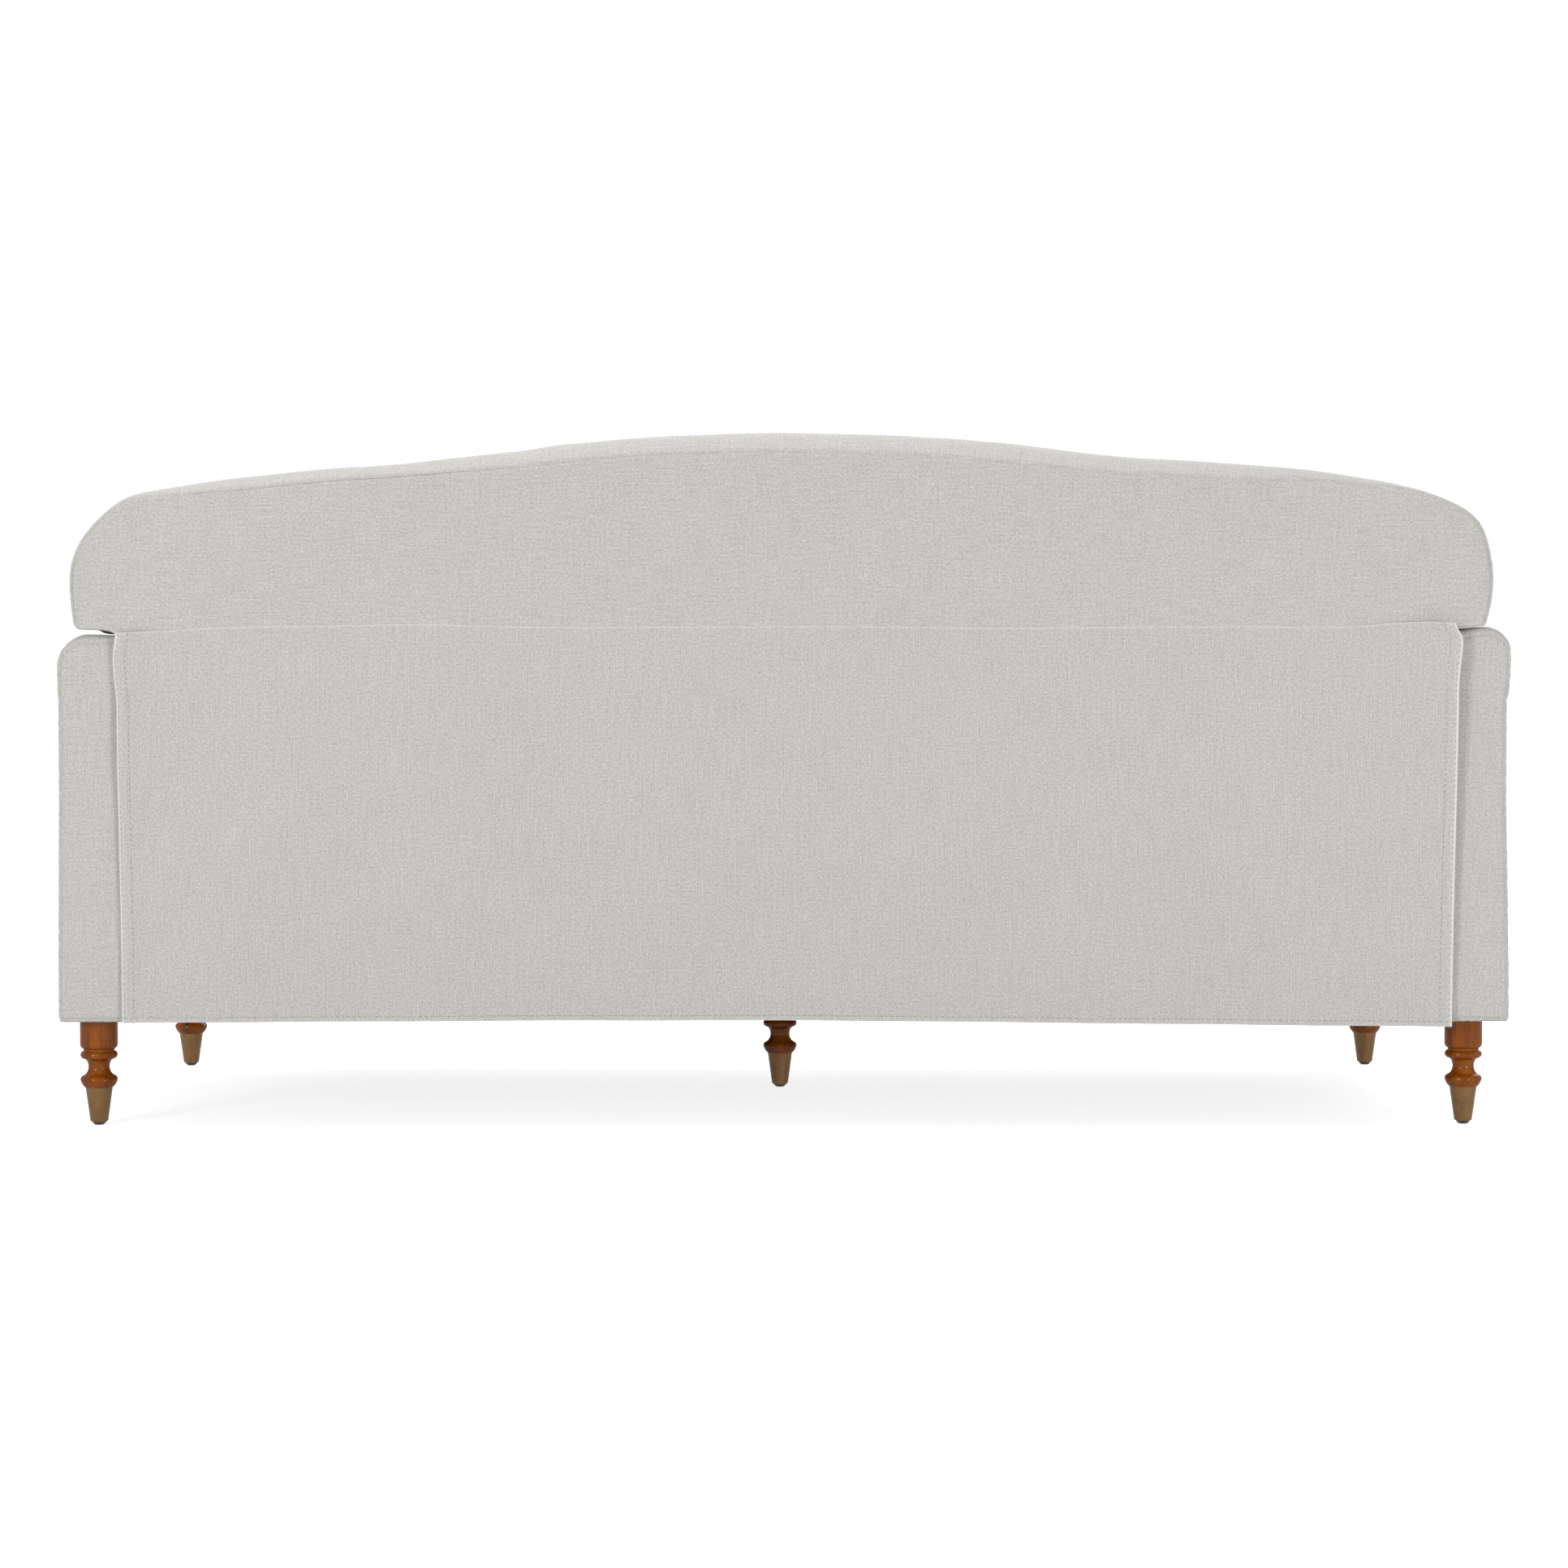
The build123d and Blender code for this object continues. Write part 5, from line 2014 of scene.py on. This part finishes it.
    def tape(self, side: Side, inner: Array, edge: Array, drop: Array) -> bpy.types.Object:
        """Make the loop tape behind one side hem.

        Args:
            side: The hem's side.
            inner: The flap's inner face.
            edge: Distances from that side's edge.
            drop: Distances from the top.

        Returns:
            The tape.
        """
        reach, down = edge[0], drop[:, 0]
        columns = np.nonzero((reach > self.tape_inset) & (reach < self.tape_end))[0]
        rows = np.nonzero((down > self.tape_top) & (down < down[-1] - self.tape_foot))[0]
        near = inner[rows][:, columns] - (0.0, self.tape_gap, 0.0)
        far = near - (0.0, self.tape_cloth, 0.0)
        piece = slab(f"flap_loop_tape_{side.word}", near, far, TAPE.material(), near[..., [2, 0]])
        return settle(piece, "back_flap", ["flap_loop_tapes"])

    def stitches(self, outer: Array, grid: FlapGrid) -> bpy.types.Object:
        """Sew the hems.

        Args:
            outer: The flap's outer face.
            grid: Its grid.

        Returns:
            All the flap's stitches as one piece.
        """
        lines = []
        for edge in (grid.from_left, grid.from_right):
            for row in self.side_rows:
                column = int(np.argmin(np.abs(edge[0] - row)))
                lines.append(outer[2:, column])
        level = int(np.argmin(np.abs(grid.from_foot[:, 0] - self.foot_row)))
        lines.append(outer[level])
        stitches = StitchRows().build("flap_stitches", lines, THREAD)
        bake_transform(stitches)
        return stitches


@dataclass
class StitchRows:
    """Rows of lock stitches that follow lines on the cloth."""

    pitch: float = 0.0070
    length: float = 0.0046
    thread: float = 0.00045
    smallest: float = 0.88
    largest: float = 1.1
    seed: int = 7

    STITCH_SIDES = 6
    STITCH_RINGS = 5

    def tree(self, material: bpy.types.Material) -> bpy.types.NodeTree:
        """Build the tree that sews along a line.

        Args:
            material: The thread's material.

        Returns:
            The tree.
        """
        tree = bpy.data.node_groups.new("stitch_rows", "GeometryNodeTree")
        tree.interface.new_socket("Geometry", in_out="INPUT", socket_type="NodeSocketGeometry")
        for word in ("Pitch", "Stitch Length", "Thread Radius"):
            tree.interface.new_socket(word, in_out="INPUT", socket_type="NodeSocketFloat")
        tree.interface.new_socket("Geometry", in_out="OUTPUT", socket_type="NodeSocketGeometry")
        graph = Graph(tree)
        start, end = graph.add("NodeGroupInput"), graph.add("NodeGroupOutput")
        pitch, length, radius = [start.outputs[word] for word in ("Pitch", "Stitch Length", "Thread Radius")]
        curve = graph.add("GeometryNodeMeshToCurve", Mesh=start.outputs[0])
        spaced = graph.add(
            "GeometryNodeResampleCurve", {"mode": "LENGTH"}, Curve=curve.outputs[0], Length=pitch
        )
        tangent = graph.add("GeometryNodeInputTangent")
        turn = graph.add("FunctionNodeAlignRotationToVector", {"axis": "Z"}, Vector=tangent.outputs[0])
        half = graph.math("MULTIPLY", length, 0.5)
        size = graph.add("ShaderNodeCombineXYZ", X=radius, Y=radius, Z=half)
        bead = graph.add(
            "GeometryNodeMeshUVSphere", Segments=self.STITCH_SIDES, Rings=self.STITCH_RINGS, Radius=1.0
        )
        stitch = graph.add("GeometryNodeTransform", Geometry=bead.outputs[0], Scale=size.outputs[0])
        vary = graph.add(
            "FunctionNodeRandomValue", {"data_type": "FLOAT"}, in2=self.smallest, in3=self.largest,
            Seed=self.seed,
        )
        placed = graph.add(
            "GeometryNodeInstanceOnPoints", Points=spaced.outputs[0], Instance=stitch.outputs[0],
            Rotation=turn.outputs[0], Scale=vary.outputs[1],
        )
        real = graph.add("GeometryNodeRealizeInstances", Geometry=placed.outputs[0])
        dressed = graph.add("GeometryNodeSetMaterial", Geometry=real.outputs[0], Material=material)
        tree.links.new(dressed.outputs[0], end.inputs[0])
        return tree

    def build(self, name: str, lines: Sequence[Array], finish: ClothFinish) -> bpy.types.Object:
        """Sew along lines.

        Args:
            name: The piece's name.
            lines: Points of each line.
            finish: The thread.

        Returns:
            The stitches as a plain mesh.
        """
        points = np.concatenate(lines)
        edges, first = [], 0
        for line in lines:
            edges += [(first + k, first + k + 1) for k in range(len(line) - 1)]
            first += len(line)
        guide = bpy.data.meshes.new(f"{name}_guide")
        guide.from_pydata(points.tolist(), edges, [])
        carrier = place_object(f"{name}_guide", guide)
        sewing = carrier.modifiers.new("sewing", "NODES")
        sewing.node_group = self.tree(finish.material())
        sizes = {"Pitch": self.pitch, "Stitch Length": self.length, "Thread Radius": self.thread}
        for item in sewing.node_group.interface.items_tree:
            if item.in_out == "INPUT" and item.name in sizes:
                sewing[item.identifier] = sizes[item.name]
        shown = carrier.evaluated_get(bpy.context.evaluated_depsgraph_get())
        mesh = bpy.data.meshes.new_from_object(shown)
        mesh.name = name
        carrier.modifiers.remove(sewing)
        bpy.data.objects.remove(carrier)
        spots = np.zeros(len(mesh.vertices) * 3)
        mesh.vertices.foreach_get("co", spots)
        corners = np.zeros(len(mesh.loops), dtype=np.int32)
        mesh.loops.foreach_get("vertex_index", corners)
        for layer in list(mesh.uv_layers):
            mesh.uv_layers.remove(layer)
        lay_cloth(mesh, spots.reshape(-1, 3)[corners][:, [0, 2]])
        mesh.polygons.foreach_set("use_smooth", np.ones(len(mesh.polygons), dtype=bool))
        LOG.info("%s: %d faces", name, len(mesh.polygons))
        return place_object(name, mesh)


@dataclass
class HardParts:
    """The solids that keep their shape and only get a finish: legs, frame and fittings."""

    def finish_of(self, name: str) -> WoodFinish | HardFinish | None:
        """Choose a node's finish.

        Args:
            name: The node's name.

        Returns:
            Its finish, or None for a node that a soft piece stands for.
        """
        if name.startswith("leg_cup"):
            return ANTIQUE_BRASS
        if name.startswith("floor_glide"):
            return DARK_PLASTIC
        if name in ("leg_hanger_bolts", "leg_tee_nuts", "arm_bolts", "base_catches", "back_hook_plates"):
            return ZINC_STEEL
        if name.startswith("leg_"):
            return VARNISHED_WOOD
        if any(word in name for word in ("rail", "post", "board", "blocks")):
            low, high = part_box(name)
            longest = max(range(3), key=lambda k: high[k] - low[k])
            return FRAME_WOOD[Axis(longest)]
        return None

    def build(self) -> None:
        """Give each solid that shows its finish."""
        for name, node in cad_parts.items():
            finish = self.finish_of(name)
            if finish is None or node.hide_render:
                continue
            for slot in node.material_slots:
                slot.material = finish.material()
            LOG.info("%s: %s", name, finish.name)


@dataclass(frozen=True)
class Lamp:
    """A soft square lamp: where it hangs, what it points at, its side and its power in watts."""

    name: str
    place: Place
    aim: Place
    size: float
    power: float

    def hang(self) -> None:
        """Put the lamp into the scene."""
        data = bpy.data.lights.new(self.name, "AREA")
        data.size = self.size
        data.energy = self.power
        lamp = place_object(self.name, data)
        lamp.location = self.place
        lamp.rotation_euler = (Vector(self.aim) - Vector(self.place)).to_track_quat("-Z", "Y").to_euler()


LAMPS = (
    Lamp("key", (2.9, 4.3, 1.35), (0.0, 0.4, 0.45), 1.1, 71.0),
    Lamp("low", (-2.6, 4.2, 0.4), (0.0, 0.4, 0.4), 0.9, 58.0),
    Lamp("top", (0.3, -0.6, 3.3), (0.0, 0.0, 0.5), 2.8, 68.0),
    Lamp("front", (-2.2, -3.6, 2.4), (0.0, 0.0, 0.4), 2.6, 80.0),
)


@dataclass
class Studio:
    """White floor and ground, soft light, and the camera behind the loveseat."""

    lens: float = 81.75
    sensor: float = 36.0
    sight: float = 100.0
    place: Place = (0.0307, 4.920, 0.543)
    pitch: float = math.radians(-1.358)
    yaw: float = math.radians(0.418)
    ambient: float = 0.385
    floor_reach: float = 40.0
    floor_tone: Colour = (0.62, 0.62, 0.62, 1.0)
    floor_roughness: float = 0.95
    floor_glow: float = 0.80

    def build(self) -> None:
        """Set the scene up."""
        self.camera()
        self.floor()
        self.world()
        for lamp in LAMPS:
            lamp.hang()
        bpy.context.scene.view_settings.view_transform = "Standard"

    def camera(self) -> None:
        """Place the camera."""
        data = bpy.data.cameras.new("camera")
        data.lens = self.lens
        data.sensor_width = self.sensor
        data.clip_end = self.sight
        camera = place_object("camera", data)
        camera.location = self.place
        camera.rotation_euler = (math.pi / 2 + self.pitch, 0.0, math.pi - self.yaw)
        bpy.context.scene.camera = camera

    def floor(self) -> None:
        """Lay a pale floor that takes the shadow."""
        mesh = bpy.data.meshes.new("floor")
        reach = self.floor_reach
        corners = [(-reach, -reach, 0), (reach, -reach, 0), (reach, reach, 0), (-reach, reach, 0)]
        mesh.from_pydata(corners, [], [(0, 1, 2, 3)])
        floor = place_object("floor", mesh)
        material, graph, shader = open_material("pale_floor")
        glow = graph.math("MULTIPLY", self.seen(graph), self.floor_glow)
        graph.feed(
            shader, Base_Color=self.floor_tone, Roughness=self.floor_roughness, Emission_Color=WHITE,
            Emission_Strength=glow,
        )
        mesh.materials.append(material)

    @staticmethod
    def seen(graph: Graph) -> bpy.types.NodeSocket:
        """Tell rays that show the ground itself from rays that only light the loveseat.

        Args:
            graph: The floor's or the ground's graph.

        Returns:
            1 for rays that show the ground, else 0.
        """
        path = graph.add("ShaderNodeLightPath")
        mirrored = graph.math("MAXIMUM", path.outputs["Is Glossy Ray"], path.outputs["Is Transmission Ray"])
        return graph.math("MAXIMUM", path.outputs["Is Camera Ray"], mirrored)

    def world(self) -> None:
        """Make the ground white and the ambient light even."""
        world = bpy.data.worlds.new("studio")
        world.use_nodes = True
        graph = Graph(world.node_tree)
        span = graph.math("MULTIPLY", self.seen(graph), 1.0 - self.ambient)
        strength = graph.math("ADD", span, self.ambient)
        graph.feed(world.node_tree.nodes["Background"], Strength=strength, Color=WHITE)
        bpy.context.scene.world = world


def main() -> None:
    """Build the loveseat's looks in order."""
    logging.basicConfig(level=logging.INFO, format="%(name)s: %(message)s")
    Studio().build()
    BackHead().build()
    BackLower().build()
    for side in Side:
        Arm(side).build()
        SeatCushion(side).build()
    SeatBase().build()
    BackFlap().build()
    BackFrame().build()
    HardParts().build()


if __name__ == "__main__":
    main()
